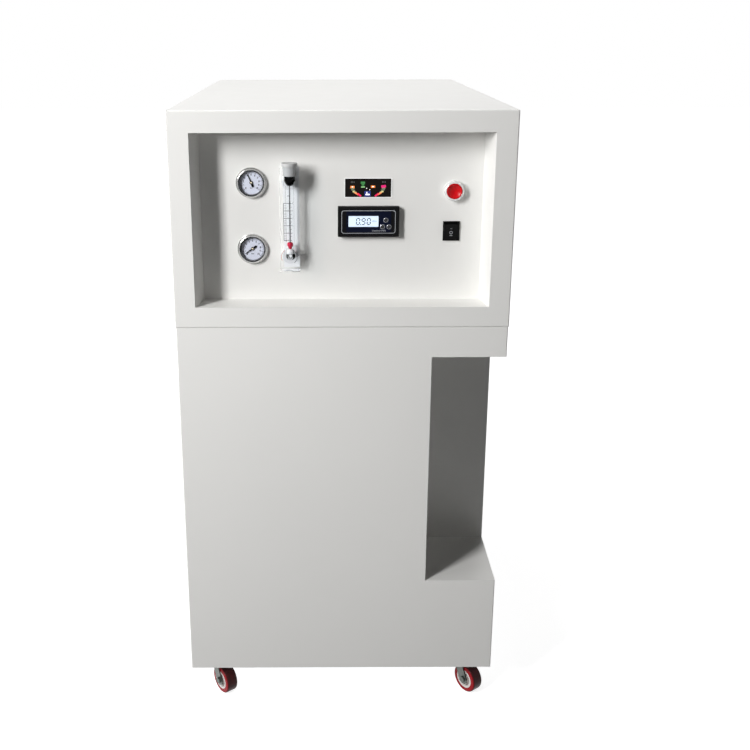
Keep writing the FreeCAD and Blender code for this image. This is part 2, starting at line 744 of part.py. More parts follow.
def make_gauges():
    """Two panel gauges: flanged case with its spindle, dial, lens and pointer."""
    cases, dials, lenses = [], [], []
    dial_back = "(gauge_dial_level - gauge_dial_thickness)"
    pointer_back = "(gauge_dial_level + pointer_lift)"
    for name, rise, angle in GAUGES:
        case = new_body("gauge_case")
        spin(case, [
            ("0", "-gauge_body_depth"), ("gauge_body_radius", "-gauge_body_depth"),
            ("gauge_body_radius", "0"), ("gauge_bezel_radius", "0"),
            ("gauge_bezel_radius", "gauge_bezel_height - gauge_bezel_chamfer"),
            ("gauge_bezel_radius - gauge_bezel_chamfer", "gauge_bezel_height"),
            ("gauge_lens_radius + gauge_bezel_chamfer / 2", "gauge_bezel_height"),
            ("gauge_lens_radius", "gauge_lens_level + gauge_lens_thickness"),
            ("gauge_lens_radius", "gauge_lens_level"), ("gauge_cavity_radius", "gauge_lens_level"),
            ("gauge_cavity_radius", dial_back), ("gauge_spindle_radius", dial_back),
            ("gauge_spindle_radius", f"{pointer_back} + pointer_thickness + rest_gap"),
            ("0", f"{pointer_back} + pointer_thickness + rest_gap"),
        ])
        rod(case, ("0", "0", "-gauge_body_depth - gauge_stem_length"), "gauge_stem_radius",
            "gauge_stem_length")
        dial = new_body("gauge_dial")
        spin(dial, [
            ("gauge_spindle_radius", dial_back), ("gauge_cavity_radius", dial_back),
            ("gauge_cavity_radius", "gauge_dial_level"), ("gauge_spindle_radius", "gauge_dial_level"),
        ])
        lens = new_body("gauge_lens")
        rod(lens, ("0", "0", "gauge_lens_level"), "gauge_lens_radius", "gauge_lens_thickness")
        pointer = new_body("gauge_pointer")
        span = (pointer_back, f"{pointer_back} + pointer_thickness")
        pad(pointer, "z", *span, [
            ("-pointer_hub_radius / 2", "-pointer_tail"), ("pointer_hub_radius / 2", "-pointer_tail"),
            ("pointer_hub_radius / 4", "0"), ("pointer_hub_radius / 8", "pointer_length"),
            ("-pointer_hub_radius / 8", "pointer_length"), ("-pointer_hub_radius / 4", "0"),
        ])
        rod(pointer, ("0", "0", pointer_back), "pointer_hub_radius", "pointer_thickness")
        rod(pointer, ("0", "0", pointer_back), "gauge_spindle_radius + bearing_clearance",
            "pointer_thickness", cut=True)
        for piece in (case, dial, lens):
            on_panel(piece, "gauge_x", rise)
        turned = doc.addObject("Part::Compound", f"pointer_{name}")
        pointer.Placement = FreeCAD.Placement(ORIGIN, ABOUT_Z)
        pointer.setExpression("Placement.Rotation.Angle", tie(angle))
        turned.Links = [pointer]
        on_panel(turned, "gauge_x", rise)
        keep(turned, f"gauge_pointer_{name}")
        cases.append(case)
        dials.append(dial)
        lenses.append(lens)
    group("gauge_cases", cases)
    group("gauge_dials", dials)
    group("gauge_lenses", lenses)


def flow_piece(name):
    """A part of the flowmeter, whose own Y is the height above the foot of the block."""
    piece = new_body(name)
    on_panel(piece, "flow_x", "flow_rise")
    return keep(piece, name)


def make_flowmeter():
    """Clear block on two ports; a float rides up a rod in its bore, between two stops."""
    middle = "(flow_standoff + flow_depth / 2)"
    back, front = "flow_standoff", "(flow_standoff + flow_depth)"
    block = flow_piece("flow_body")
    slab(block, centred("flow_width"), ("0", "flow_height"), (back, front))
    bores = [
        ("flow_seat_height", FLOW_STOP, "flow_bore_radius"),
        (FLOW_STOP, FLOW_SOCKET, "flow_chamber_radius"),
        (FLOW_SOCKET, "flow_height", "flow_socket_radius"),
    ]
    for low, high, radius in bores:
        rod(block, ("0", low, middle), radius, f"{high} - {low}", "y", True)
    for height in FLOW_PORTS:
        rod(block, ("0", height, back), "flow_port_channel", f"{middle} - flow_standoff", cut=True)
    rod(block, ("0", "flow_inlet_height", middle), "flow_port_channel",
        "flow_seat_height - flow_inlet_height", "y", True)

    plug = flow_piece("flow_plug")
    spin(plug, [
        ("0", FLOW_SOCKET), ("flow_socket_radius", FLOW_SOCKET),
        ("flow_socket_radius", "flow_height"), ("flow_plug_radius", "flow_height"),
        ("flow_plug_radius", "flow_height + flow_plug_cap - gauge_bezel_chamfer"),
        ("flow_plug_radius - gauge_bezel_chamfer", "flow_height + flow_plug_cap"),
        ("0", "flow_height + flow_plug_cap"),
    ], "y", ("0", "0", middle))

    seat_top = "(flow_seat_height + flow_seat_thickness)"
    stops = []
    profiles = [
        [("flow_rod_radius", FLOW_STOP), ("flow_stop_tip_radius", FLOW_STOP),
         ("flow_chamber_radius", f"{FLOW_SOCKET} - flow_seat_thickness"),
         ("flow_chamber_radius", FLOW_SOCKET), ("flow_rod_radius", FLOW_SOCKET)],
        [("flow_rod_radius", "flow_seat_height"), ("flow_bore_radius", "flow_seat_height"),
         ("flow_bore_radius", f"{seat_top} - flow_seat_thickness / 2"),
         ("flow_stop_tip_radius", seat_top), ("flow_rod_radius", seat_top)],
    ]
    for profile in profiles:
        stop = new_body("flow_stop")
        spin(stop, profile, "y", ("0", "0", middle))
        on_panel(stop, "flow_x", "flow_rise")
        stops.append(stop)
    group("flow_stops", stops)

    guide = flow_piece("flow_guide_rod")
    rod(guide, ("0", "flow_seat_height", middle), "flow_rod_radius",
        f"{FLOW_SOCKET} - flow_seat_height", "y")

    bob = flow_piece("flow_float")
    foot = f"({seat_top} + rest_gap)"
    hole = "flow_rod_radius + bearing_clearance"
    spin(bob, [
        (hole, foot), ("float_foot_radius", foot), ("float_radius", f"{foot} + float_height / 2"),
        ("float_radius", f"{foot} + float_height * 3 / 4"),
        ("float_foot_radius", f"{foot} + float_height"), (hole, f"{foot} + float_height"),
    ], "y", ("0", "0", middle))

    ports = []
    for height in FLOW_PORTS:
        port = new_body("flow_port")
        at = ("0", height, "0")
        rod(port, ("0", height, "-flow_port_tail"), "flow_port_radius", "flow_port_tail")
        rod(port, at, "flow_collar_radius", "flow_standoff")
        rod(port, ("0", height, "-flow_port_tail"), "flow_port_channel",
            "flow_port_tail + flow_standoff", cut=True)
        on_panel(port, "flow_x", "flow_rise")
        ports.append(port)
    group("flow_ports", ports)


def panel_block(owner, width, height, depth, x="0", y="0", cut=False):
    """A block on the panel, centred on (x, y), between two levels."""
    slab(owner, (f"{x} - ({width}) / 2", f"{x} + ({width}) / 2"),
         (f"{y} - ({height}) / 2", f"{y} + ({height}) / 2"), depth, cut)


def make_indicator():
    """Level indicator: a dark window in the panel, with its housing behind."""
    window, housing = new_body("indicator_window"), new_body("indicator_housing")
    back = "(window_proud - window_thickness)"
    panel_block(window, "indicator_width", "indicator_height", (back, "window_proud"))
    panel_block(housing, "indicator_width + 2 * indicator_lap", "indicator_height + 2 * indicator_lap",
                ("-sheet_gauge - indicator_depth", "-sheet_gauge"))
    panel_block(housing, "indicator_width", "indicator_height", (back, "-sheet_gauge"), cut=True)
    for piece, label in ((window, "indicator_window"), (housing, "indicator_housing")):
        on_panel(piece, "indicator_x", "indicator_rise")
        keep(piece, label)


def meter_keys():
    """Centres of the three keys, from the middle of the meter."""
    yield "key_column", "key_rise"
    yield "key_column - key_pitch_x", "key_rise - key_drop"
    yield "key_column + key_pitch_x", "key_rise - key_drop"


def make_meter():
    """Conductivity meter: flush-mounting case, display and three keys that travel."""
    housing = new_body("meter_housing")
    panel_block(housing, "meter_width", "meter_height", ("0", "meter_proud"))
    front = value("meter_proud")
    half_width, half_height = value("meter_width / 2"), value("meter_height / 2")

    def outer(box):
        corner = near(abs(box.XMin), half_width) and near(abs(box.YMin), half_height)
        upright = near(box.XLength, 0) and near(box.YLength, 0)
        return near(box.ZMin, front) or corner and upright

    round_edges(housing, "sheet_gauge", outer)
    panel_block(housing, "meter_body_width", "meter_body_height", ("-meter_body_depth", "0"))
    face = "(meter_proud - meter_face_recess)"
    panel_block(housing, "meter_width - 2 * meter_rim", "meter_height - 2 * meter_rim",
                (face, "meter_proud"), cut=True)
    panel_block(housing, "display_width", "display_height", (f"{face} - display_thickness", face),
                "display_x", "display_rise", True)
    floor = f"({face} - key_travel - rest_gap)"
    display = new_body("meter_display")
    panel_block(display, "display_width", "display_height", (f"{face} - display_thickness", face),
                "display_x", "display_rise")
    for index, (x, y) in enumerate(meter_keys(), 1):
        stem = "key_radius / 2"
        rod(housing, (x, y, floor), "key_radius + slide_clearance", "key_travel + rest_gap", cut=True)
        rod(housing, (x, y, f"{floor} - key_stem - key_travel"), f"{stem} + slide_clearance",
            "key_stem + key_travel", cut=True)
        key = new_body("meter_key")
        spin(key, [
            ("0", f"{floor} - key_stem"), (stem, f"{floor} - key_stem"),
            (stem, f"{floor} + key_travel"), ("key_radius", f"{floor} + key_travel"),
            ("key_radius", f"{face} + key_proud * 2 / 3"), ("key_radius * 3 / 4", f"{face} + key_proud"),
            ("0", f"{face} + key_proud"),
        ], "z", (x, y, "0"))
        on_panel(key, "meter_x", "meter_rise")
        keep(key, f"meter_key_{index}")
    for piece, label in ((housing, "meter_housing"), (display, "meter_display")):
        on_panel(piece, "meter_x", "meter_rise")
        keep(piece, label)


def make_push_button():
    """Sprung push-button: ring with its threaded barrel, nut, contact block and dished cap."""
    ring, block, cap = new_body("button_ring"), new_body("button_contact_block"), new_body("button_cap")
    bore = "button_cap_radius + slide_clearance"
    stem_bore = "button_stem_radius + slide_clearance"
    spin(ring, [
        (stem_bore, "-button_barrel_length"), ("button_barrel_radius", "-button_barrel_length"),
        ("button_barrel_radius", "0"), ("button_ring_radius", "0"),
        ("button_ring_radius", "button_ring_height - gauge_bezel_chamfer"),
        ("button_ring_radius - gauge_bezel_chamfer / 2", "button_ring_height"),
        (bore, "button_ring_height"), (bore, "button_floor"), (stem_bore, "button_floor"),
    ])
    nut = new_body("button_nut")
    spin(nut, [
        ("button_barrel_radius", "-sheet_gauge - button_nut_thickness"),
        ("button_nut_radius", "-sheet_gauge - button_nut_thickness"),
        ("button_nut_radius", "-sheet_gauge"), ("button_barrel_radius", "-sheet_gauge"),
    ])
    panel_block(block, "button_block_width", "button_block_width",
                ("-button_barrel_length - button_block_depth", "-button_barrel_length"))
    skirt = "(button_floor + button_travel + rest_gap)"
    spin(cap, [
        ("0", "-button_stem_length"), ("button_stem_radius", "-button_stem_length"),
        ("button_stem_radius", skirt), ("button_cap_radius", skirt),
        ("button_cap_radius", "button_cap_height - button_dish"),
        ("button_cap_radius - button_dish", "button_cap_height"),
        ("button_cap_radius * 3 / 5", "button_cap_height - button_dish / 3"),
        ("0", "button_cap_height - button_dish / 2"),
    ])
    for piece in (ring, block, cap, nut):
        on_panel(piece, "button_x", "button_rise")
    group("button_ring", [ring, nut])
    keep(block, "button_contact_block")
    keep(cap, "button_cap")


def make_switch():
    """Rocker switch: snap-in body and a rocker on two pins, tipped to one side at rest."""
    body = new_body("switch_body")
    panel_block(body, "switch_width", "switch_height", ("0", "switch_flange"))
    panel_block(body, "switch_body_width", "switch_body_height", ("-switch_body_depth", "0"))
    width = "(switch_body_width - 2 * switch_wall)"
    height = "(switch_body_height - 2 * switch_wall)"
    floor = "(rocker_pivot_depth + rocker_belly * 2)"
    panel_block(body, width, height, (f"-{floor}", "switch_flange"), cut=True)
    pin_length = f"({width} / 2 + switch_wall - fit_gap)"
    for start in (f"-({width} / 2 + switch_wall)", f"{width} / 2"):
        rod(body, (start, "0", "-rocker_pivot_depth"), "rocker_pin_radius + bearing_clearance",
            "switch_wall", "x", True)
    rocker = new_body("rocker_moulding")
    across = f"({width} / 2 - fit_gap)"
    pad(rocker, "x", f"-{across}", across, [
        ("-rocker_half_length", "0"), ("-rocker_half_length / 2", "-rocker_belly"),
        ("rocker_half_length / 2", "-rocker_belly"), ("rocker_half_length", "0"),
        ("rocker_half_length", "rocker_rise"), ("0", "rocker_dip"),
        ("-rocker_half_length", "rocker_rise"),
    ])
    rod(rocker, (f"-{pin_length}", "0", "0"), "rocker_pin_radius", f"2 * {pin_length}", "x")
    rocker.Placement = FreeCAD.Placement(ORIGIN, FreeCAD.Rotation(FreeCAD.Vector(1, 0, 0), 0))
    rocker.setExpression("Placement.Rotation.Angle", tie("rocker_angle"))
    rocker.setExpression("Placement.Base.z", tie("-rocker_pivot_depth"))
    tipped = doc.addObject("Part::Compound", "rocker")
    tipped.Links = [rocker]
    for piece, label in ((body, "switch_body"), (tipped, "switch_rocker")):
        on_panel(piece, "switch_x", "switch_rise")
        keep(piece, label)


# ---- casters ------------------------------------------------------------------------------------

def make_casters():
    """Four swivel casters: plate with its kingpin, fork with its axle, hub and tyre."""
    plates, bolts = [], []
    crown = "(2 * wheel_radius + wheel_headroom)"
    crown_top = f"({crown} + fork_gauge)"
    leg = "(wheel_width / 2 + wheel_side_gap)"
    for index, (x, y) in enumerate(caster_places(), 1):
        plate = new_body("caster_plate")
        slab(plate, centred("plate_length"), centred("plate_width"), (PLATE_BOTTOM, CASE_BOTTOM))
        head = f"({crown} - rest_gap - kingpin_head)"
        rod(plate, ("0", "0", head), "kingpin_head_radius", "kingpin_head")
        rod(plate, ("0", "0", head), "kingpin_radius", f"{PLATE_BOTTOM} - {head}")
        for across, along in bolt_places():
            rod(plate, (across, along, PLATE_BOTTOM), "bolt_radius + hole_clearance", "plate_gauge", cut=True)
            bolt = new_body("caster_bolt")
            rod(bolt, (across, along, f"{PLATE_BOTTOM} - bolt_head"), "bolt_head_radius", "bolt_head")
            rod(bolt, (across, along, PLATE_BOTTOM), "bolt_radius", "plate_gauge + pan_gauge")
            rod(bolt, (across, along, PAN_TOP), "bolt_head_radius", "bolt_nut")
            put(bolt, (x, y, "0"))
            bolts.append(bolt)
        put(plate, (x, y, "0"))
        plates.append(plate)

        fork = new_body("caster_fork_frame")
        bore, race_top = "kingpin_radius + bearing_clearance", f"({PLATE_BOTTOM} - race_gap)"
        spin(fork, [
            (bore, crown), ("fork_crown_radius", crown), ("fork_crown_radius", crown_top),
            ("race_radius", f"{crown_top} + fork_gauge / 2"), ("race_radius", f"{race_top} - fork_gauge / 2"),
            ("race_radius - fork_gauge", race_top), (bore, race_top),
        ])
        for low, high in ((leg, f"{leg} + fork_gauge"), (f"-({leg} + fork_gauge)", f"-{leg}")):
            pad(fork, "y", low, high, [
                ("-fork_leg_half_width", crown_top), ("caster_trail - fork_leg_end", "wheel_radius"),
                ("caster_trail + fork_leg_end", "wheel_radius"), ("fork_leg_half_width", crown_top),
            ])
            rod(fork, ("caster_trail", low, "wheel_radius"), "fork_leg_end", "fork_gauge", "y")
            rod(fork, ("caster_trail", low, "wheel_radius"), "axle_radius", "fork_gauge", "y", True)
        axle = new_body("caster_axle")
        end = f"({leg} + fork_gauge)"
        rod(axle, ("caster_trail", f"-{end}", "wheel_radius"), "axle_radius", f"2 * {end}", "y")
        for start in (end, f"-{end} - axle_head_length"):
            rod(axle, ("caster_trail", start, "wheel_radius"), "axle_head_radius", "axle_head_length", "y")
        hub, tyre = new_body("caster_hub"), new_body("caster_tyre")
        centre = ("caster_trail", "0", "wheel_radius")
        axle_bore, rim = "axle_radius + bearing_clearance", "wheel_hub_radius - wheel_rim"
        boss = "(wheel_width / 2 + wheel_side_gap / 2)"
        spin(hub, [
            (axle_bore, f"-{boss}"), ("wheel_boss_radius", f"-{boss}"),
            ("wheel_boss_radius", "-wheel_web / 2"), (rim, "-wheel_web / 2"), (rim, "-wheel_width / 2"),
            ("wheel_hub_radius", "-wheel_width / 2"), ("wheel_hub_radius", "wheel_width / 2"),
            (rim, "wheel_width / 2"), (rim, "wheel_web / 2"), ("wheel_boss_radius", "wheel_web / 2"),
            ("wheel_boss_radius", boss), (axle_bore, boss),
        ], "y", centre)
        spin(tyre, [
            ("wheel_hub_radius", "-wheel_width / 2"), ("wheel_radius", "-wheel_width / 2"),
            ("wheel_radius", "wheel_width / 2"), ("wheel_hub_radius", "wheel_width / 2"),
        ], "y", centre)
        radius = value("wheel_radius")
        round_edges(tyre, "tyre_round", lambda b: near(b.XLength, 2 * radius))
        parts = doc.addObject("Part::Compound", "fork_and_axle")
        parts.Links = [fork, axle]
        for piece, name in ((parts, "fork"), (hub, "hub"), (tyre, "tyre")):
            put(piece, (x, y, "0"), ABOUT_Z, "caster_turn")
            keep(piece, f"caster_{name}_{index}")
    group("caster_plates", plates)
    group("caster_bolts", bolts)


# ---- inside the lower case ----------------------------------------------------------------------

HEAD_BOTTOM = f"({FILTER_TOP} - filter_head_height)"
SUMP_BOTTOM = f"({HEAD_BOTTOM} - {SUMP_LENGTH})"


def make_filters():
    """Three pre-filter housings in a row under a bracket, each with its cartridge."""
    heads, sumps, cartridges = [], [], []
    port = f"({FILTER_TOP} - filter_port_drop)"
    for i in (-1, 0, 1):
        x = f"{i} * filter_pitch"
        head, sump, cartridge = new_body("filter_head"), new_body("filter_sump"), new_body("cartridge")
        rod(head, (x, "filter_y", HEAD_BOTTOM), "filter_head_radius", "filter_head_height")
        rod(head, (f"{x} - filter_port_reach", "filter_y", port), "filter_port_radius",
            "2 * filter_port_reach", "x")
        rod(head, (f"{x} - filter_port_reach", "filter_y", port), "water_bore_radius",
            "2 * filter_port_reach", "x", True)
        inside, floor = "(sump_radius - sump_wall)", f"({SUMP_BOTTOM} + sump_wall)"
        spin(sump, [
            ("0", SUMP_BOTTOM), (inside, SUMP_BOTTOM), ("sump_radius", floor),
            ("sump_radius", HEAD_BOTTOM), (inside, HEAD_BOTTOM), (inside, floor), ("0", floor),
        ], "z", (x, "filter_y", "0"))
        foot = (x, "filter_y", floor)
        rod(cartridge, foot, "cartridge_radius", "cartridge_length")
        rod(cartridge, foot, "cartridge_core_radius", "cartridge_length", cut=True)
        heads.append(head)
        sumps.append(sump)
        cartridges.append(cartridge)
    group("filter_heads", heads)
    group("filter_sumps", sumps)
    group("filter_cartridges", cartridges)
    bracket = new_body("filter_bracket")
    y = ("filter_y - bracket_depth / 2", "filter_y + bracket_depth / 2")
    slab(bracket, (f"-{INNER_HALF}", INNER_HALF), y, (FILTER_TOP, f"{FILTER_TOP} + bracket_gauge"))
    for start in (f"-{INNER_HALF}", f"{INNER_HALF} - bracket_gauge"):
        slab(bracket, (start, f"{start} + bracket_gauge"), y, (FILTER_TOP, f"{FILTER_TOP} + bracket_tab"))
    keep(bracket, "filter_bracket")


def make_booster_pump():
    """Diaphragm pump on four rubber feet: motor, head and foot plate."""
    plate_low = f"({PAN_TOP} + pump_foot_height)"
    plate_high = f"({plate_low} + pump_plate_gauge)"
    axis = f"({plate_high} + pump_plate_lift + pump_motor_radius)"
    half = "(pump_head_size / 2)"
    left, right = f"(pump_x - {half})", f"(pump_x + {half})"
    joint = f"({FRONT} + pump_inset)"
    front, back = f"({joint} - pump_head_length)", f"({joint} + pump_motor_length)"
    pump, feet = new_body("pump"), []
    rod(pump, ("pump_x", joint, axis), "pump_motor_radius", "pump_motor_length", "y")
    slab(pump, (left, right), (front, joint), (f"{axis} - {half}", f"{axis} + {half}"))
    slab(pump, (left, right), (front, back), (plate_low, plate_high))
    slab(pump, (f"pump_x - {half} / 2", f"pump_x + {half} / 2"), (front, back),
         (plate_high, f"{axis} - pump_motor_radius / 2"))
    for start in (right, f"{left} - valve_port_radius"):
        rod(pump, (start, f"{joint} - pump_head_length / 2", axis), "valve_port_radius",
            "valve_port_radius", "x")
    for x in (f"{left} + pump_foot_radius", f"{right} - pump_foot_radius"):
        for y in (f"{front} + pump_foot_radius", f"{back} - pump_foot_radius"):
            foot = new_body("pump_foot")
            rod(foot, (x, y, PAN_TOP), "pump_foot_radius", "pump_foot_height")
            feet.append(foot)
    keep(pump, "booster_pump")
    group("pump_feet", feet)


def make_polishing_columns():
    """Two upright resin columns with screwed caps, standing on the base pan."""
    columns = []
    for i in (0, 1):
        x = f"(column_x + {i} * column_pitch)"
        column = new_body("column")
        top = "(column_cap_height + column_height)"
        spin(column, [
            ("0", "0"), ("column_cap_radius", "0"), ("column_cap_radius", "column_cap_height"),
            ("column_radius", "column_cap_height"), ("column_radius", top), ("column_cap_radius", top),
            ("column_cap_radius", f"{top} + column_cap_height"), ("0", f"{top} + column_cap_height"),
        ])
        rod(column, ("0", "0", f"{top} + column_cap_height"), "valve_port_radius", "valve_port_radius * 2")
        put(column, (x, "column_y", PAN_TOP))
        columns.append(column)
    group("polishing_columns", columns)


# ---- inside the upper case ----------------------------------------------------------------------

def make_membranes():
    """Two membrane housings with end caps, lying in saddles on the upper floor."""
    housings, saddles = [], []
    axis = f"({UPPER_FLOOR} + cradle_height + membrane_cap_radius)"
    for i in (0, 1):
        x = f"(membrane_x + {i} * membrane_pitch)"
        housing = new_body("membrane_housing")
        end = "(membrane_length + membrane_cap_length)"
        spin(housing, [
            ("0", "0"), ("membrane_cap_radius", "0"), ("membrane_cap_radius", "membrane_cap_length"),
            ("membrane_radius", "membrane_cap_length"), ("membrane_radius", end),
            ("membrane_cap_radius", end), ("membrane_cap_radius", f"{end} + membrane_cap_length"),
            ("0", f"{end} + membrane_cap_length"),
        ])
        rod(housing, ("0", "0", f"{end} + membrane_cap_length"), "valve_port_radius", "valve_port_radius * 2")
        put(housing, (x, "membrane_y", axis), TURNS["y"])
        housings.append(housing)
        for y in ("membrane_y + membrane_cap_length + cradle_inset",
                  "membrane_y + membrane_cap_length + membrane_length - cradle_inset - cradle_length"):
            saddle = new_body("membrane_saddle")
            slab(saddle, (f"{x} - cradle_width / 2", f"{x} + cradle_width / 2"), (y, f"{y} + cradle_length"),
                 (UPPER_FLOOR, f"{axis} - membrane_radius / 2"))
            rod(saddle, (x, y, axis), "membrane_radius", "cradle_length", "y", True)
            saddles.append(saddle)
    group("membrane_housings", housings)
    group("membrane_saddles", saddles)


def make_valves():
    """Feed and flush solenoid valves: body with two ports, and coil."""
    valves = []
    for i in (0, 1):
        x = f"(valve_x + {i} * valve_pitch)"
        valve = new_body("solenoid_valve")
        half = "(valve_body / 2)"
        slab(valve, (f"{x} - {half}", f"{x} + {half}"), (f"valve_y - {half}", f"valve_y + {half}"),
             (UPPER_FLOOR, f"{UPPER_FLOOR} + valve_body"))
        rod(valve, (x, "valve_y - valve_port_reach", f"{UPPER_FLOOR} + {half}"), "valve_port_radius",
            "2 * valve_port_reach", "y")
        rod(valve, (x, "valve_y", f"{UPPER_FLOOR} + valve_body"), "valve_coil_radius", "valve_coil_height")
        valves.append(valve)
    group("solenoid_valves", valves)


def make_power_supply():
    """Enclosed power supply, with a step for its terminals at the front."""
    supply = new_body("power_supply")
    x = ("supply_x - supply_width / 2", "supply_x + supply_width / 2")
    slab(supply, x, ("supply_y - supply_length / 2", "supply_y + supply_length / 2"),
         (UPPER_FLOOR, f"{UPPER_FLOOR} + supply_height"))
    slab(supply, x, ("supply_y - supply_length / 2", "supply_y - supply_length / 2 + supply_height / 2"),
         (f"{UPPER_FLOOR} + supply_height / 2", f"{UPPER_FLOOR} + supply_height"), cut=True)
    keep(supply, "power_supply")


make_upper_cover()
make_front_frame()
make_control_panel()
make_upper_floor()
make_lower_shell()
make_niche_liner()
make_base_pan()
make_rear_panels()
make_rear_screws()
make_rear_ports()
make_mains_inlet()
make_gauges()
make_flowmeter()
make_indicator()
make_meter()
make_push_button()
make_switch()
make_casters()
make_filters()
make_booster_pump()
make_polishing_columns()
make_membranes()
make_valves()
make_power_supply()

doc.recompute()
for thing in doc.Objects:
    if "Invalid" in thing.State or "Error" in thing.State:
        raise RuntimeError(f"{thing.Label} failed: {thing.State}")
os.makedirs("parts", exist_ok=True)
for label, piece in pieces.items():
    if piece.Shape.isNull() or not piece.Shape.isValid() or not piece.Shape.Solids:
        raise RuntimeError(f"{label} has no valid solid")
for label, piece in pieces.items():
    piece.Shape.exportStep(f"parts/{label}.step")
    box = piece.Shape.BoundBox
    print(f"{label}: {len(piece.Shape.Solids)} solids, {piece.Shape.Volume / 1000:.1f} cm3, "
          f"x {box.XMin:.1f}..{box.XMax:.1f} y {box.YMin:.1f}..{box.YMax:.1f} "
          f"z {box.ZMin:.1f}..{box.ZMax:.1f}")
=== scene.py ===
"""Floor-standing ultrapure water system: finishes, printed marks and small fittings on its solids.

Everything is in metres, with +Z up and the front towards -Y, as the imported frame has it.
"""
import math

import bmesh
import bpy
from mathutils import Matrix, Vector


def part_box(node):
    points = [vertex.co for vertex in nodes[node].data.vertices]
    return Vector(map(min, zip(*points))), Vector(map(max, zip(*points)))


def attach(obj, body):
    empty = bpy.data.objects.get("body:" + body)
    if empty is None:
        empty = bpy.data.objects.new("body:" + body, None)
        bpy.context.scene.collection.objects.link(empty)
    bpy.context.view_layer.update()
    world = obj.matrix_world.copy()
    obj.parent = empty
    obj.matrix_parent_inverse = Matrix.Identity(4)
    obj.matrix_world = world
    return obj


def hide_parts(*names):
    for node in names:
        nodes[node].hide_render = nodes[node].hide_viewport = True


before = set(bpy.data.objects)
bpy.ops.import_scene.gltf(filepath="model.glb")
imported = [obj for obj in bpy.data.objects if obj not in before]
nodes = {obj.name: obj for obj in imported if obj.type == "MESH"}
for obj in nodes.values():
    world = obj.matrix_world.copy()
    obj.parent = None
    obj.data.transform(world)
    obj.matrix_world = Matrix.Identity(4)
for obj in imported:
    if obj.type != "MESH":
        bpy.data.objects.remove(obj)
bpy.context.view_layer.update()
MM = 0.001


# ---- painted case -------------------------------------------------------------------------------
# Folded sheet steel, degreased and powder coated off-white inside and out. The coat has a fine
# orange peel, a slow change of tone where the spray overlapped, and a little dust on flat tops.

def add(tree, kind, inputs=None, **settings):
    """A node with its settings; an input is a value, or the output socket that feeds it."""
    node = tree.nodes.new(kind)
    for key, value in settings.items():
        setattr(node, key, value)
    for key, value in (inputs or {}).items():
        if isinstance(value, bpy.types.NodeSocket):
            tree.links.new(value, node.inputs[key])
        else:
            node.inputs[key].default_value = value
    return node


def effect(name, given, made):
    """A shader node group: its tree, its input node and its output node."""
    tree = bpy.data.node_groups.new(name, "ShaderNodeTree")
    for side, sockets in (("INPUT", given), ("OUTPUT", made)):
        for label, kind, *value in sockets:
            socket = tree.interface.new_socket(label, in_out=side, socket_type=f"NodeSocket{kind}")
            if value:
                socket.default_value = value[0]
    return tree, tree.nodes.new("NodeGroupInput"), tree.nodes.new("NodeGroupOutput")


def map_range(tree, value, low, high, to_low, to_high):
    """One span of values laid on another, without overshoot."""
    inputs = {"Value": value, "From Min": low, "From Max": high, "To Min": to_low, "To Max": to_high}
    return add(tree, "ShaderNodeMapRange", inputs).outputs["Result"]


def maths(tree, operation, first, second):
    """One sum on two values."""
    return add(tree, "ShaderNodeMath", {0: first, 1: second}, operation=operation).outputs[0]


def mixed(tree, factor, first, second):
    """A blend of two colours."""
    inputs = {"Factor": factor, "A": first, "B": second}
    return add(tree, "ShaderNodeMix", inputs, data_type="RGBA").outputs["Result"]


def noise(tree, place, scale, detail):
    """The level of a noise pattern."""
    return add(tree, "ShaderNodeTexNoise", {"Vector": place, "Scale": scale, "Detail": detail}).outputs["Fac"]


def cloudy_tone():
    """A colour that drifts lighter and darker over the piece."""
    tree, given, made = effect(
        "cloudy tone",
        [("Colour", "Color", (0.8, 0.8, 0.8, 1)), ("Scale", "Float", 5.0), ("Amount", "Float", 0.03)],
        [("Colour", "Color")])
    place = add(tree, "ShaderNodeTexCoord").outputs["Object"]
    drift = noise(tree, place, given.outputs["Scale"], 3)
    less = maths(tree, "SUBTRACT", 1.0, given.outputs["Amount"])
    more = maths(tree, "ADD", 1.0, given.outputs["Amount"])
    level = map_range(tree, drift, 0.3, 0.7, less, more)
    tinted = add(tree, "ShaderNodeHueSaturation", {"Color": given.outputs["Colour"], "Value": level})
    tree.links.new(tinted.outputs["Color"], made.inputs["Colour"])
    return tree


def fine_grain():
    """Small-scale texture: a height for the bump, and a roughness that wanders with handling."""
    tree, given, made = effect(
        "fine grain",
        [("Scale", "Float", 600.0), ("Smooth", "Float", 0.3), ("Rough", "Float", 0.5)],
        [("Roughness", "Float"), ("Height", "Float")])
    place = add(tree, "ShaderNodeTexCoord").outputs["Object"]
    grain = noise(tree, place, given.outputs["Scale"], 2)
    haze = add(tree, "ShaderNodeTexNoise", {"Vector": place, "Scale": 24.0, "Detail": 4, "Roughness": 0.6})
    level = map_range(tree, haze.outputs["Fac"], 0.3, 0.7, given.outputs["Smooth"], given.outputs["Rough"])
    tree.links.new(level, made.inputs["Roughness"])
    tree.links.new(grain, made.inputs["Height"])
    return tree


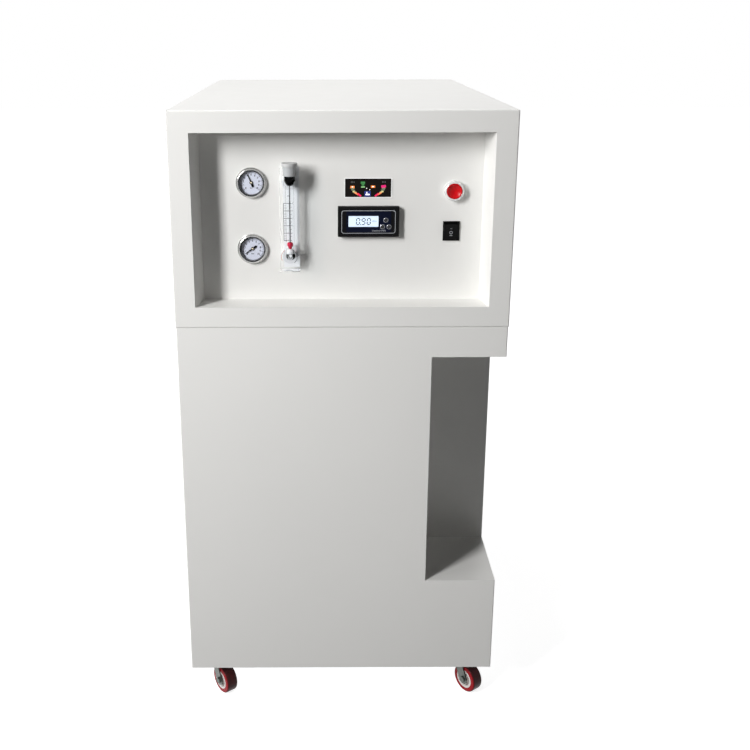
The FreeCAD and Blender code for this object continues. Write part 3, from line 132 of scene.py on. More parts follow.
def settled_dust():
    """Pale dust on what faces up, broken up by noise."""
    tree, given, made = effect(
        "settled dust",
        [("Colour", "Color"), ("Dust", "Color", (0.5, 0.48, 0.45, 1)), ("Amount", "Float", 0.2)],
        [("Colour", "Color")])
    facing = add(tree, "ShaderNodeNewGeometry").outputs["Normal"]
    up = add(tree, "ShaderNodeSeparateXYZ", {0: facing}).outputs["Z"]
    place = add(tree, "ShaderNodeTexCoord").outputs["Object"]
    patches = noise(tree, place, 30.0, 5)
    lying = map_range(tree, up, 0.4, 1.0, 0.0, given.outputs["Amount"])
    broken = map_range(tree, patches, 0.35, 0.65, 0.3, 1.0)
    mask = maths(tree, "MULTIPLY", lying, broken)
    tree.links.new(mixed(tree, mask, given.outputs["Colour"], given.outputs["Dust"]), made.inputs["Colour"])
    return tree


CLOUDY, GRAIN, DUST = cloudy_tone(), fine_grain(), settled_dust()


def blank(name):
    """A new material, with its tree and its shader."""
    material = bpy.data.materials.new(name)
    material.use_nodes = True
    return material, material.node_tree, material.node_tree.nodes["Principled BSDF"]


def finish(name, colour, smooth, rough, grain=600, depth=0.03, tone=0.03, spread=5, dust=0,
           specular=0.5, metallic=0):
    """A material from the shared effects; `depth` is the grain's height in mm."""
    material, tree, shader = blank(name)
    shader.inputs["Specular IOR Level"].default_value = specular
    shader.inputs["Metallic"].default_value = metallic
    cloud = add(tree, "ShaderNodeGroup", {}, node_tree=CLOUDY)
    for key, value in (("Colour", (*colour, 1)), ("Scale", spread), ("Amount", tone)):
        cloud.inputs[key].default_value = value
    shade = cloud.outputs["Colour"]
    if dust:
        lying = add(tree, "ShaderNodeGroup", {}, node_tree=DUST)
        tree.links.new(shade, lying.inputs["Colour"])
        lying.inputs["Amount"].default_value = dust
        shade = lying.outputs["Colour"]
    tree.links.new(shade, shader.inputs["Base Color"])
    surface = add(tree, "ShaderNodeGroup", {}, node_tree=GRAIN)
    for key, value in (("Scale", grain), ("Smooth", smooth), ("Rough", rough)):
        surface.inputs[key].default_value = value
    tree.links.new(surface.outputs["Roughness"], shader.inputs["Roughness"])
    bump = add(tree, "ShaderNodeBump", {"Height": surface.outputs["Height"], "Strength": 0.5,
                                        "Distance": depth * MM})
    tree.links.new(bump.outputs["Normal"], shader.inputs["Normal"])
    return material


def coat(material, *names):
    """Gives CAD pieces their material."""
    for name in names:
        for slot in nodes[name].material_slots:
            slot.material = material


CASE_WHITE = (0.80, 0.794, 0.772)
powder_coat = finish("powder coat", CASE_WHITE, 0.36, 0.44, grain=420, depth=0.05, tone=0.012,
                     spread=3, dust=0.04, specular=0.5)
coat(powder_coat, "upper_cover", "front_frame", "control_panel", "lower_shell", "niche_liner",
     "upper_rear_panel", "lower_rear_panel")
zinc_plate = finish("zinc plate", (0.42, 0.43, 0.44), 0.30, 0.48, grain=180, depth=0.02, tone=0.10,
                    spread=70, dust=0.25, metallic=1)
coat(zinc_plate, "base_pan", "upper_floor_plate", "filter_bracket", "caster_plates")

PANEL_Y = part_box("control_panel")[0].y


# ---- pressure gauges ----------------------------------------------------------------------------
# Panel gauges in polished stainless cases: a rolled bezel over a flat lens, a black ring that
# shades the dial, an enamelled dial printed in grey, and a black needle on a brass boss.

def on_panel(x, z, out=0.0):
    """The place of a piece on the control panel, whose own X is right, Y is up and Z is out."""
    return Matrix.Translation((x, PANEL_Y - out, z)) @ Matrix.Rotation(math.pi / 2, 4, "X")


def eased(points, radius, closed=False, steps=4):
    """An outline with its corners rounded off."""
    points = [Vector(p) for p in points]
    rounded = [] if closed else [points[0]]
    span = range(len(points)) if closed else range(1, len(points) - 1)
    for i in span:
        corner, before, after = points[i], points[i - 1], points[(i + 1) % len(points)]
        ends = [corner + (other - corner) * min(0.5, radius / max((other - corner).length, 1e-9))
                for other in (before, after)]
        for k in range(steps + 1):
            t = k / steps
            rounded.append((1 - t) ** 2 * ends[0] + 2 * t * (1 - t) * corner + t * t * ends[1])
    return rounded if closed else rounded + [points[-1]]


def skin(shape, loops, ring=False):
    """Joins loops of points, all of one length, into a closed skin."""
    rows = [[shape.verts.new(point) for point in loop] for loop in loops]
    pairs = list(zip(rows, rows[1:])) + ([(rows[-1], rows[0])] if ring else [])
    for low, high in pairs:
        for k, vertex in enumerate(low):
            after = (k + 1) % len(low)
            shape.faces.new((vertex, low[after], high[after], high[k]))
    if not ring:
        shape.faces.new(rows[0][::-1])
        shape.faces.new(rows[-1])
    return shape


def turned(shape, profile, place, segments=96, ring=False):
    """Turns (radius, height) points, in mm, about the place's own Z."""
    turns = [2 * math.pi * k / segments for k in range(segments)]
    return skin(shape, [[place @ (Vector((r * math.cos(a), r * math.sin(a), h)) * MM) for a in turns]
                        for r, h in profile], ring)


def prism(shape, outline, low, high, place):
    """A flat outline, in mm, drawn out from one level to another."""
    return skin(shape, [[place @ (Vector((x, y, level)) * MM) for x, y in outline] for level in (low, high)])


def band(shape, outer, inner, low, high, place):
    """A flat frame between two outlines of as many points."""
    levels = ((outer, low), (outer, high), (inner, high), (inner, low))
    return skin(shape, [[place @ (Vector((x, y, level)) * MM) for x, y in outline]
                        for outline, level in levels], ring=True)


def mesh_of(name, shape):
    """A mesh from a finished shape."""
    mesh = bpy.data.meshes.new(name)
    shape.to_mesh(mesh)
    shape.free()
    return mesh


def piece(name, shape, material, body, replaced=(), smooth=True):
    """Makes a finished shape into a piece that rides on a body."""
    bmesh.ops.remove_doubles(shape, verts=shape.verts, dist=1e-7)
    bmesh.ops.recalc_face_normals(shape, faces=shape.faces)
    mesh = mesh_of(name, shape)
    mesh.materials.append(material)
    if smooth:
        mesh.shade_smooth()
        mesh.set_sharp_from_angle(angle=math.radians(40))
    made = bpy.data.objects.new(name, mesh)
    bpy.context.scene.collection.objects.link(made)
    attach(made, body)
    if replaced:
        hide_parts(*replaced)


def centre(node):
    """The middle of a CAD piece."""
    low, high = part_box(node)
    return (low + high) / 2


def proud(node):
    """How far a CAD piece stands out from the panel, in mm."""
    return (PANEL_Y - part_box(node)[0].y) / MM


dial_low, dial_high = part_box("gauge_dials")
DIAL_RADIUS = (dial_high.x - dial_low.x) / 2 / MM
GAUGE_X = centre("gauge_dials").x
DIAL_OUT = proud("gauge_dials")
GAUGES = {"upper": (dial_high.z - DIAL_RADIUS * MM, 23), "lower": (dial_low.z + DIAL_RADIUS * MM, 125)}
CASE_PROFILE = [
    (0, -44), (5, -44), (5, -26), (20, -26), (20, 0), (24, 0), (24, 1.6), (23.8, 2.3), (23.2, 2.7),
    (22.5, 2.6), (22.2, 3.2), (22.4, 5.4), (22.2, 6.2), (21.7, 6.7), (21.1, 6.8), (20.6, 6.4), (20.2, 5.9),
    (20.1, 5.55), (21, 5.5), (21, 4), (18.8, 4), (18.8, -1.8), (0.8, -1.8), (0.8, 0.7), (0, 0.7)]
SHADE_PROFILE = [(18.8, -0.95), (18.8, 3.95), (18.3, 3.95), (18.2, -0.95)]

polished_steel = finish("polished stainless", (0.50, 0.50, 0.49), 0.12, 0.26, grain=900, depth=0.004,
                        tone=0.04, spread=60, metallic=1)
shade_grey = finish("shade ring", (0.16, 0.16, 0.17), 0.3, 0.45, grain=700, depth=0.02,
                    specular=0.2)
enamel = finish("dial enamel", (0.72, 0.73, 0.82), 0.28, 0.36, grain=300, depth=0.004, tone=0.015,
                spread=40)
scale_ink = finish("grey ink", (0.030, 0.032, 0.045), 0.45, 0.6, grain=900, depth=0.002, tone=0.15,
                   spread=400, specular=0.05)
needle_black = finish("needle enamel", (0.003, 0.003, 0.004), 0.25, 0.4, grain=900, depth=0.004,
                      specular=0.05)
brass = finish("turned brass", (0.66, 0.56, 0.36), 0.18, 0.3, grain=900, depth=0.004, tone=0.08,
               spread=300, metallic=1)

case_shape, shade_shape = bmesh.new(), bmesh.new()
for z, _ in GAUGES.values():
    turned(case_shape, CASE_PROFILE, on_panel(GAUGE_X, z))
    turned(shade_shape, SHADE_PROFILE, on_panel(GAUGE_X, z), ring=True)
piece("gauge_bezels", case_shape, polished_steel, "cabinet", ["gauge_cases"])
piece("gauge_shade_rings", shade_shape, shade_grey, "cabinet")
coat(enamel, "gauge_dials")


def see_through(tree, share, colour=(1, 1, 1)):
    """Lets a share of the rays go straight through a material."""
    through = add(tree, "ShaderNodeBsdfTransparent", {"Color": (*colour, 1)}).outputs["BSDF"]
    shader = tree.nodes["Principled BSDF"].outputs["BSDF"]
    mix = add(tree, "ShaderNodeMixShader", {0: share, 1: shader, 2: through})
    tree.links.new(mix.outputs["Shader"], tree.nodes["Material Output"].inputs["Surface"])


def clear(name, colour, ior, roughness=0.0):
    """Glass or acrylic that lets lamp light through to what is behind it."""
    material, tree, shader = blank(name)
    for key, value in (("Base Color", (*colour, 1)), ("IOR", ior), ("Roughness", roughness),
                       ("Transmission Weight", 1.0)):
        shader.inputs[key].default_value = value
    path = add(tree, "ShaderNodeLightPath").outputs
    see_through(tree, maths(tree, "MAXIMUM", path["Is Shadow Ray"], path["Is Diffuse Ray"]), colour)
    return material


coat(clear("gauge glass", (0.98, 0.99, 1.0), 1.12), "gauge_lenses")

ARC_INPUTS = [("Count", "Int", 11), ("Radius", "Float", 0.017), ("Start", "Float", 0.0),
              ("Sweep", "Float", 4.7), ("Mark", "Vector", (0.002, 0.0003, 0.0001)), ("Material", "Material")]


def node_tree(name, inputs):
    """An empty Geometry Nodes tree with named inputs."""
    tree = bpy.data.node_groups.new(name, "GeometryNodeTree")
    tree.interface.new_socket("Geometry", in_out="INPUT", socket_type="NodeSocketGeometry")
    tree.interface.new_socket("Geometry", in_out="OUTPUT", socket_type="NodeSocketGeometry")
    for label, kind, *value in inputs:
        socket = tree.interface.new_socket(label, in_out="INPUT", socket_type=f"NodeSocket{kind}")
        if value:
            socket.default_value = value[0]
    return tree, tree.nodes.new("NodeGroupInput"), tree.nodes.new("NodeGroupOutput")


def close_tree(tree, given, made, instances):
    """Ends a tree: its instances made real, in the given material."""
    real = add(tree, "GeometryNodeRealizeInstances", {"Geometry": instances.outputs["Instances"]})
    done = add(tree, "GeometryNodeSetMaterial", {"Geometry": real.outputs["Geometry"],
                                                 "Material": given.outputs["Material"]})
    tree.links.new(done.outputs["Geometry"], made.inputs["Geometry"])
    return tree


def arc_of_marks():
    """Bars of one size along an arc in the XY plane, each pointing at its centre."""
    tree, given, made = node_tree("arc of marks", ARC_INPUTS)
    arc = add(tree, "GeometryNodeCurveArc", {
        "Resolution": given.outputs["Count"], "Radius": given.outputs["Radius"],
        "Start Angle": given.outputs["Start"], "Sweep Angle": given.outputs["Sweep"]})
    points = add(tree, "GeometryNodeCurveToPoints", {"Curve": arc.outputs["Curve"]}, mode="EVALUATED")
    place = add(tree, "GeometryNodeInputPosition")
    turn = add(tree, "FunctionNodeAlignRotationToVector", {"Vector": place.outputs["Position"]}, axis="X")
    mark = add(tree, "GeometryNodeMeshCube", {"Size": given.outputs["Mark"]})
    marks = add(tree, "GeometryNodeInstanceOnPoints", {"Points": points.outputs["Points"],
                                                       "Instance": mark.outputs["Mesh"],
                                                       "Rotation": turn.outputs["Rotation"]})
    return close_tree(tree, given, made, marks)


def plain_mesh(holder, place):
    """What an object comes to, as a mesh at its place; the object itself is removed."""
    bpy.context.scene.collection.objects.link(holder)
    view = bpy.context.evaluated_depsgraph_get()
    mesh = bpy.data.meshes.new_from_object(holder.evaluated_get(view))
    mesh.transform(place)
    bpy.data.objects.remove(holder)
    return mesh


def grown(tree, place, points=(), **values):
    """What a Geometry Nodes tree makes with these inputs, as a plain mesh at its place."""
    start = bpy.data.objects.new("start", bpy.data.meshes.new("start"))
    start.data.from_pydata([tuple(point) for point in points], [], [])
    modifier = start.modifiers.new("grow", "NODES")
    modifier.node_group = tree
    for socket in tree.interface.items_tree:
        if socket.in_out == "INPUT" and socket.name in values:
            modifier[socket.identifier] = values[socket.name]
    return plain_mesh(start, place)


def letters(words, size, place, thickness=0.0001, weight=0.0):
    """Words as a thin mesh, centred on their place; `weight` fattens the strokes."""
    text = bpy.data.curves.new("words", "FONT")
    text.body = words
    text.size = size
    text.offset = weight
    text.extrude = thickness / 2
    text.resolution_u = 4
    text.align_x, text.align_y = "CENTER", "CENTER"
    return plain_mesh(bpy.data.objects.new("words", text), place)


def printed(name, meshes, material, body):
    """Thin printed marks, joined as one piece."""
    shape = bmesh.new()
    for mesh in meshes:
        shape.from_mesh(mesh)
    piece(name, shape, material, body, smooth=False)


def dial_marks(place, count, radius, mark):
    """Marks of one size round the whole of a dial's scale."""
    return grown(ARC_OF_MARKS, place, Count=count, Radius=radius, Start=DIAL_START, Sweep=DIAL_SWEEP,
                 Mark=mark, Material=scale_ink)


ARC_OF_MARKS = arc_of_marks()
DIAL_START, DIAL_SWEEP = math.radians(-45), math.radians(270)
NUMERAL_RADIUS = 0.0123
INK = 0.00006
for name, (z, _) in GAUGES.items():
    face = on_panel(GAUGE_X, z, (DIAL_OUT + 0.08) * MM)
    marks = [dial_marks(face, 11, 0.0159, (0.0030, 0.0006, INK)),
             dial_marks(face, 51, 0.0166, (0.0016, 0.00028, INK)),
             dial_marks(face, 200, 0.0175, (0.0002, 0.00045, INK))]
    for step in range(11):
        angle = DIAL_START + DIAL_SWEEP * (1 - step / 10)
        at = Matrix.Translation((NUMERAL_RADIUS * math.cos(angle), NUMERAL_RADIUS * math.sin(angle), 0))
        marks.append(letters(str(step), 0.0040, face @ at, INK, 0.00012))
    marks.append(letters("bar", 0.0032, face @ Matrix.Translation((0, -0.0082, 0)), INK, 0.00005))
    printed(f"{name}_dial_scale", marks, scale_ink, "cabinet")

NEEDLE = [(-1.5, -6.6), (-0.8, -7.6), (0.8, -7.6), (1.5, -6.6), (1.9, -4.4), (1.1, -2.2), (1.3, 0),
          (0.9, 6), (0.4, 14.4), (-0.4, 14.4), (-0.9, 6), (-1.3, 0), (-1.1, -2.2), (-1.9, -4.4)]
BOSS_PROFILE = [(0.86, 0.9), (1.5, 0.9), (1.5, 1.4), (1.15, 1.75), (0.86, 1.8)]
for name, (z, angle) in GAUGES.items():
    place = on_panel(GAUGE_X, z, (DIAL_OUT + 0.6) * MM) @ Matrix.Rotation(math.radians(angle), 4, "Z")
    needle = prism(bmesh.new(), NEEDLE, 0.05, 0.7, place)
    turned(needle, eased([(0.86, 0), (2.7, 0), (2.7, 0.9), (0.86, 0.9)], 0.25, closed=True), place, 48, True)
    piece(f"needle_{name}", needle, needle_black, f"pointer_{name}",
          [f"gauge_pointer_{name}"])
    boss = turned(bmesh.new(), BOSS_PROFILE, place, 32, True)
    piece(f"needle_boss_{name}", boss, brass, f"pointer_{name}")


# ---- flowmeter ----------------------------------------------------------------------------------
# A clear acrylic block, bored and polished, with a white backing foil and a scale printed on its
# face. A red float rides up a steel rod between a black stop above and a white seat below; a
# moulded plug closes the bore.

def rounded_box(width, height, radius, x=0.0, y=0.0):
    """The outline of a block with rounded corners, in mm."""
    half, tall = width / 2, height / 2
    corners = [(x - half, y - tall), (x + half, y - tall), (x + half, y + tall), (x - half, y + tall)]
    return eased(corners, radius, closed=True)


flow_low, flow_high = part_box("flow_body")
FLOW_X = centre("flow_body").x
FLOW_FACE = proud("flow_body")
FLOW_BACK = (PANEL_Y - flow_high.y) / MM
FLOW_AXIS = (FLOW_FACE + FLOW_BACK) / 2
flow_face = on_panel(FLOW_X, flow_low.z)
acrylic = clear("clear acrylic", (0.97, 0.98, 0.985), 1.04, 0.02)
foil_white = finish("backing foil", (0.93, 0.93, 0.945), 0.35, 0.45, grain=500, depth=0.01, tone=0.01)
FOIL_SHADOW_LOSS = 0.6
tree = foil_white.node_tree
shadow_ray = add(tree, "ShaderNodeLightPath").outputs["Is Shadow Ray"]
see_through(tree, maths(tree, "MULTIPLY", shadow_ray, FOIL_SHADOW_LOSS))
steel_rod = finish("ground steel rod", (0.16, 0.16, 0.17), 0.2, 0.35, grain=900, depth=0.004, metallic=1)
plug_grey = finish("moulded grey plug", (0.50, 0.50, 0.50), 0.3, 0.42, grain=500, depth=0.02, tone=0.03)
gloss_black = finish("gloss black moulding", (0.004, 0.004, 0.004), 0.08, 0.2, grain=500, depth=0.006,
                     specular=0.05)
float_red = finish("red float", (0.62, 0.008, 0.05), 0.18, 0.3, grain=500, depth=0.008, tone=0.05,
                   specular=0.2)


def polished_copy(node, width):
    """The merged copy of a CAD solid, with the edges of its outer block bevelled."""
    shape = bmesh.new()
    shape.from_mesh(nodes[node].data)
    bmesh.ops.remove_doubles(shape, verts=shape.verts, dist=1e-6)
    bmesh.ops.dissolve_limit(shape, angle_limit=math.radians(1), verts=shape.verts, edges=shape.edges)
    low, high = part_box(node)

    def faces_met(point):
        return sum(min(abs(point[i] - low[i]), abs(point[i] - high[i])) < 1e-5 for i in range(3))

    edges = [e for e in shape.edges if faces_met((e.verts[0].co + e.verts[1].co) / 2) > 1
             and all(faces_met(v.co) > 1 for v in e.verts)]
    bmesh.ops.bevel(shape, geom=edges, offset=width, segments=2, affect="EDGES", profile=0.6)
    return shape


piece("flow_block", polished_copy("flow_body", 0.5 * MM), acrylic, "cabinet", ["flow_body"])
foil = prism(bmesh.new(), rounded_box(25, 159, 1, 2.2, 80.5), FLOW_BACK - 0.7, FLOW_BACK - 0.2, flow_face)
piece("flow_backing_foil", foil, foil_white, "cabinet")


def in_bore(height):
    """The axis of the bore, at a height from the floor."""
    return Matrix.Translation((FLOW_X, PANEL_Y - FLOW_AXIS * MM, height))


plug_low, plug_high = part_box("flow_plug")
PLUG_TOP = (plug_high.z - plug_low.z) / MM
PLUG_SEAT = (flow_high.z - plug_low.z) / MM
PLUG_PROFILE = [(0, 0), (10.4, 0), (10.4, PLUG_SEAT), (12.5, PLUG_SEAT), (12.5, PLUG_TOP), (4, PLUG_TOP),
                (3.4, PLUG_TOP - 1.4), (0, PLUG_TOP - 1.4)]
plug = turned(bmesh.new(), eased(PLUG_PROFILE, 0.9), in_bore(plug_low.z))
piece("flow_plug_cap", plug, plug_grey, "cabinet", ["flow_plug"])
seat_white = finish("white seat", (0.80, 0.80, 0.82), 0.3, 0.42, grain=500, depth=0.01, tone=0.02)
coat(steel_rod, "flow_guide_rod")
coat(seat_white, "flow_ports")
stops_low, stops_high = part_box("flow_stops")
STOP_LENGTH = 15
upper_stop, seat = bmesh.new(), bmesh.new()
turned(upper_stop, [(1, 0), (3.6, 0), (4.2, 0.5), (8.6, 7.4), (8.9, 8.2), (8.9, 11.2), (7.8, 11.4),
                    (7.8, 12.4), (8.9, 12.6), (8.9, STOP_LENGTH), (1, STOP_LENGTH)],
       in_bore(stops_high.z - STOP_LENGTH * MM), 64, True)
piece("flow_upper_stop", upper_stop, gloss_black, "cabinet", ["flow_stops"])
turned(seat, [(1, 0), (6.4, 0), (6.4, 3.4), (5.9, 4.2), (4.0, 6.6), (3.6, 7), (1, 7)],
       in_bore(stops_low.z), 64, True)
piece("flow_seat", seat, seat_white, "cabinet")
PORT_RISES = (19, 135)
gaskets = bmesh.new()
for rise in PORT_RISES:
    place = flow_face @ Matrix.Translation((0, rise * MM, FLOW_BACK * MM))
    turned(gaskets, [(3.4, 0.02), (6.8, 0.02), (7.0, 0.2), (6.8, 0.4), (3.4, 0.4)], place, 48, True)
piece("flow_port_gaskets", gaskets, gloss_black, "cabinet")

float_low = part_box("flow_float")[0].z
FLOAT_PROFILE = [(1.06, 0), (1.9, 0), (3.6, 3.0), (4.8, 5.4), (4.95, 7.6), (3.9, 9.9), (1.06, 10)]
bob = turned(bmesh.new(), eased(FLOAT_PROFILE, 0.8, True), in_bore(float_low), 48, True)
piece("float", bob, float_red, "float", ["flow_float"])

LINE_INPUTS = [("Count", "Int", 7), ("Step", "Vector", (0, 0.0115, 0)),
               ("Mark", "Vector", (0.008, 0.0004, 0.0001)), ("Material", "Material")]


def line_of_marks():
    """Bars of one size, evenly spaced on a line."""
    tree, given, made = node_tree("line of marks", LINE_INPUTS)
    along = {"Count": given.outputs["Count"], "Offset": given.outputs["Step"]}
    line = add(tree, "GeometryNodeMeshLine", along, mode="OFFSET")
    mark = add(tree, "GeometryNodeMeshCube", {"Size": given.outputs["Mark"]})
    marks = add(tree, "GeometryNodeInstanceOnPoints", {"Points": line.outputs["Mesh"],
                                                       "Instance": mark.outputs["Mesh"]})
    return close_tree(tree, given, made, marks)


LINE_OF_MARKS = line_of_marks()
SCALE_FOOT, SCALE_STEP, SCALE_STEPS = 0.0497, 0.0115, 5


def on_flow(x, height):
    """A place on the printed face of the block, from its foot."""
    return flow_face @ Matrix.Translation((x * MM, height, (FLOW_FACE + 0.06) * MM))


def ruled(x, steps_up, count, step, width, height):
    """Marks above one another, from a number of scale steps above the scale's foot."""
    return grown(LINE_OF_MARKS, on_flow(x, SCALE_FOOT + steps_up * SCALE_STEP), Count=count,
                 Step=(0, step, 0), Mark=(width, height, INK), Material=scale_ink)


def swept(height, count, radius, start, sweep, material):
    """An arc on the face, from its start angle through its sweep, in degrees."""
    return grown(ARC_OF_MARKS, on_flow(ARC_X, height), Count=count, Radius=radius, Start=math.radians(start),
                 Sweep=math.radians(sweep), Mark=(0.0006, 0.0007, INK), Material=material)


scale_marks = [ruled(-3.0, 0, SCALE_STEPS + 1, SCALE_STEP, 0.0124, 0.0007),
               ruled(1.8, 0.5, SCALE_STEPS, SCALE_STEP, 0.0028, 0.0005),
               ruled(-9.0, SCALE_STEPS / 2, 1, 0, 0.0007, SCALE_STEP * SCALE_STEPS),
               ruled(-1.0, SCALE_STEPS + 1, 1, 0, 0.0044, 0.0007)]
for step in range(1, SCALE_STEPS + 1):
    scale_marks.append(letters(str(step), 0.0026, on_flow(4.6, SCALE_FOOT + step * SCALE_STEP), INK))
for x, width in ((-6.6, 0.0040), (0.6, 0.0024)):
    for step in range(SCALE_STEPS):
        scale_marks.append(ruled(x, step + 0.3, 3, SCALE_STEP / 5, width, 0.0003))
ARC_X, ARC_HEIGHT, ARC_REACH = -1.2, 0.0237, 0.0122
scale_marks.append(swept(ARC_HEIGHT, 60, ARC_REACH, -50, 110, scale_ink))
scale_marks.append(swept(-0.0068, 30, 0.0095, 50, 80, scale_ink))
printed("flow_scale", scale_marks, scale_ink, "cabinet")
mark_red = finish("red ink", (0.60, 0.03, 0.03), 0.4, 0.5, grain=800, depth=0.002)
low_mark = swept(ARC_HEIGHT, 40, ARC_REACH, 125, 80, mark_red)
printed("flow_low_mark", [low_mark], mark_red, "cabinet")


# ---- level indicator ----------------------------------------------------------------------------
# A smoked window snapped into its cut-out. Behind it two arcs of lit bars show the tank levels,
# with green, amber and blue lamps between them.

indicator_low, indicator_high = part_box("indicator_window")
INDICATOR = centre("indicator_window")
WINDOW_OUT = proud("indicator_window")
WINDOW_WIDTH = (indicator_high.x - indicator_low.x) / MM
WINDOW_HEIGHT = (indicator_high.z - indicator_low.z) / MM
smoked = finish("smoked window", (0.008, 0.006, 0.005), 0.15, 0.25, grain=300, depth=0.004,
                specular=0.06)
coat(smoked, "indicator_window")
window_place = on_panel(INDICATOR.x, INDICATOR.z)
# Painted highlight: a bright white band round the cut-out, set wider at the right and bottom, stands in for
# light on the panel's cut edges.
lit_edge_band = band(bmesh.new(), rounded_box(WINDOW_WIDTH + 2.4, WINDOW_HEIGHT + 2.4, 0.8, 0.5, -0.5),
                rounded_box(WINDOW_WIDTH - 0.2, WINDOW_HEIGHT - 0.2, 0.5), 0.0, 0.6, window_place)
painted_highlight_white = finish("white painted highlight", (0.96, 0.96, 0.95), 0.3, 0.4, grain=500, depth=0.01)
piece("indicator_trim", lit_edge_band, painted_highlight_white, "cabinet")


def lamp(name, colour, glow):
    """A lit lamp: coloured plastic with a little light of its own."""
    material = finish(name, colour, 0.3, 0.4, grain=800, depth=0.003)
    shader = material.node_tree.nodes["Principled BSDF"]
    shader.inputs["Emission Color"].default_value = (*colour, 1)
    shader.inputs["Emission Strength"].default_value = glow
    return material


def bars(name, places, material):
    """Lit bars on the window: each is (x, y, width, height, turn in degrees), in mm."""
    shape = bmesh.new()
    for x, y, width, height, turn in places:
        at = Matrix.Translation(Vector((x, y, WINDOW_OUT)) * MM) @ Matrix.Rotation(math.radians(turn), 4, "Z")
        prism(shape, rounded_box(width, height, 0.4), 0.02, 0.12, window_place @ at)
    piece(name, shape, material, "cabinet")


ARC_CENTRE_Y, ARC_RADIUS, ARC_MIDDLE = 3.0, 14.3, 10.4


def arc_bars(angle, width, height):
    """A bar on each of the two arcs, at an angle below level; it leans half as much."""
    x = ARC_MIDDLE + ARC_RADIUS * math.cos(math.radians(angle))
    y = ARC_CENTRE_Y - ARC_RADIUS * math.sin(math.radians(angle))
    return [(side * x, y, width, height, side * angle / 2) for side in (-1, 1)]


LAMPS = {
    "lamp_amber": ((0.90, 0.24, 0.03), 0.35, [(-24.4, 1.4, 6.6, 3.4, 0), (7.7, 1.8, 6.6, 3.6, 0)]),
    "lamp_magenta": ((0.72, 0.015, 0.16), 0.35, [(24.2, 2.2, 7.4, 4.2, 8)]),
    "lamp_sage": ((0.20, 0.25, 0.15), 0.2, arc_bars(16, 5.6, 1.7) + arc_bars(27, 6.0, 1.8)),
    "lamp_yellow": ((0.74, 0.62, 0.26), 0.3, arc_bars(42, 6.6, 2.2)),
    "lamp_orange": ((0.85, 0.30, 0.12), 0.35, arc_bars(58, 7.0, 2.3)),
    "lamp_red": ((0.72, 0.008, 0.09), 0.4, arc_bars(76, 7.6, 2.8)),
    "lamp_green": ((0.035, 0.22, 0.05), 0.2, [(-8.2, 8.0, 6.6, 3.4, 0), (-8.0, 4.8, 4.2, 2.2, 0)]),
    "lamp_pale_green": ((0.24, 0.48, 0.20), 0.25, [(-8.0, 1.4, 6.0, 2.2, 0)]),
    "lamp_blue": ((0.012, 0.03, 0.22), 0.15, [(-0.8, -9.4, 9.8, 8.6, 0)]),
}
for lamp_name, (colour, glow, places) in LAMPS.items():
    bars(lamp_name, places, lamp(lamp_name.replace("_", " "), colour, glow))
lamp_white = lamp("lamp white", (0.92, 0.90, 0.86), 0.8)
marks = bmesh.new()
for x, y, width, height in ((-24.4, 1.6, 2.6, 1.6), (7.7, 1.9, 3.0, 1.6), (-0.8, -10.4, 6.4, 2.2),
                            (-1.8, -7.6, 1.6, 2.4), (-2.1, -0.6, 1.3, 1.3), (2.7, -2.9, 1.3, 1.3)):
    prism(marks, rounded_box(width, height, 0.5, x, y), WINDOW_OUT + 0.1, WINDOW_OUT + 0.2, window_place)
piece("lamp_white_marks", marks, lamp_white, "cabinet")
dim_print = finish("dim print", (0.10, 0.10, 0.10), 0.4, 0.5, grain=800, depth=0.002)
faint = bmesh.new()
for x in (-24.0, 24.6):
    for k in (-1, 0, 1):
        prism(faint, rounded_box(0.9, 2.6, 0.3, x + 2.2 * k, 9.0), WINDOW_OUT + 0.02, WINDOW_OUT + 0.1,
              window_place)
piece("indicator_unlit_marks", faint, dim_print, "cabinet")


# ---- conductivity meter -------------------------------------------------------------------------
# A flush-mounting instrument in black moulded plastic: printed navy face, backlit display with
# seven-segment digits, and three silvered keys.

METER = centre("meter_housing")
display_low, display_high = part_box("meter_display")
FACE_OUT = proud("meter_display")
meter_place = on_panel(METER.x, METER.z)
black_case = finish("black case moulding", (0.006, 0.006, 0.006), 0.35, 0.45, grain=500, depth=0.03,
                    specular=0.06)
coat(black_case, "meter_housing", "switch_body", "indicator_housing", "button_contact_block", "mains_inlet")
navy_face = finish("navy face print", (0.003, 0.005, 0.016), 0.28, 0.36, grain=700, depth=0.006,
                   specular=0.05)
charcoal_face = finish("charcoal face print", (0.005, 0.005, 0.006), 0.3, 0.4, grain=700, depth=0.01,
                       specular=0.05)
silver_print = finish("silver print", (0.50, 0.52, 0.55), 0.3, 0.4, grain=900, depth=0.002)
FACE_WIDTH, FACE_HEIGHT = 87.6, 39.6
DISPLAY_X, _, DISPLAY_Z = centre("meter_display") - METER
DISPLAY_WIDTH = (display_high.x - display_low.x) / MM
DISPLAY_HEIGHT = (display_high.z - display_low.z) / MM
KEY_HOLES = [centre(f"meter_key_{k}") - METER for k in (1, 2, 3)]


def holed_plate(shape, outline, holes, low, high, place):
    """A thin plate with holes through it, cut from a filled outline."""
    for level in (low, high):
        edges = []
        for loop in (outline, *holes):
            points = [shape.verts.new(place @ (Vector((x, y, level)) * MM)) for x, y in loop]
            edges += [shape.edges.new((p, points[(k + 1) % len(points)])) for k, p in enumerate(points)]
        bmesh.ops.triangle_fill(shape, use_beauty=True, use_dissolve=False, edges=edges)
    for loop in (outline, *holes):
        rings = [[place @ (Vector((x, y, level)) * MM) for x, y in loop] for level in (low, high)]
        for k in range(len(loop)):
            after = (k + 1) % len(loop)
            corners = (rings[0][k], rings[0][after], rings[1][after], rings[1][k])
            shape.faces.new([shape.verts.new(corner) for corner in corners])


def circle(x, y, radius, steps=40):
    """A round outline, in mm."""
    turns = [2 * math.pi * k / steps for k in range(steps)]
    return [(x + radius * math.cos(a), y + radius * math.sin(a)) for a in turns]


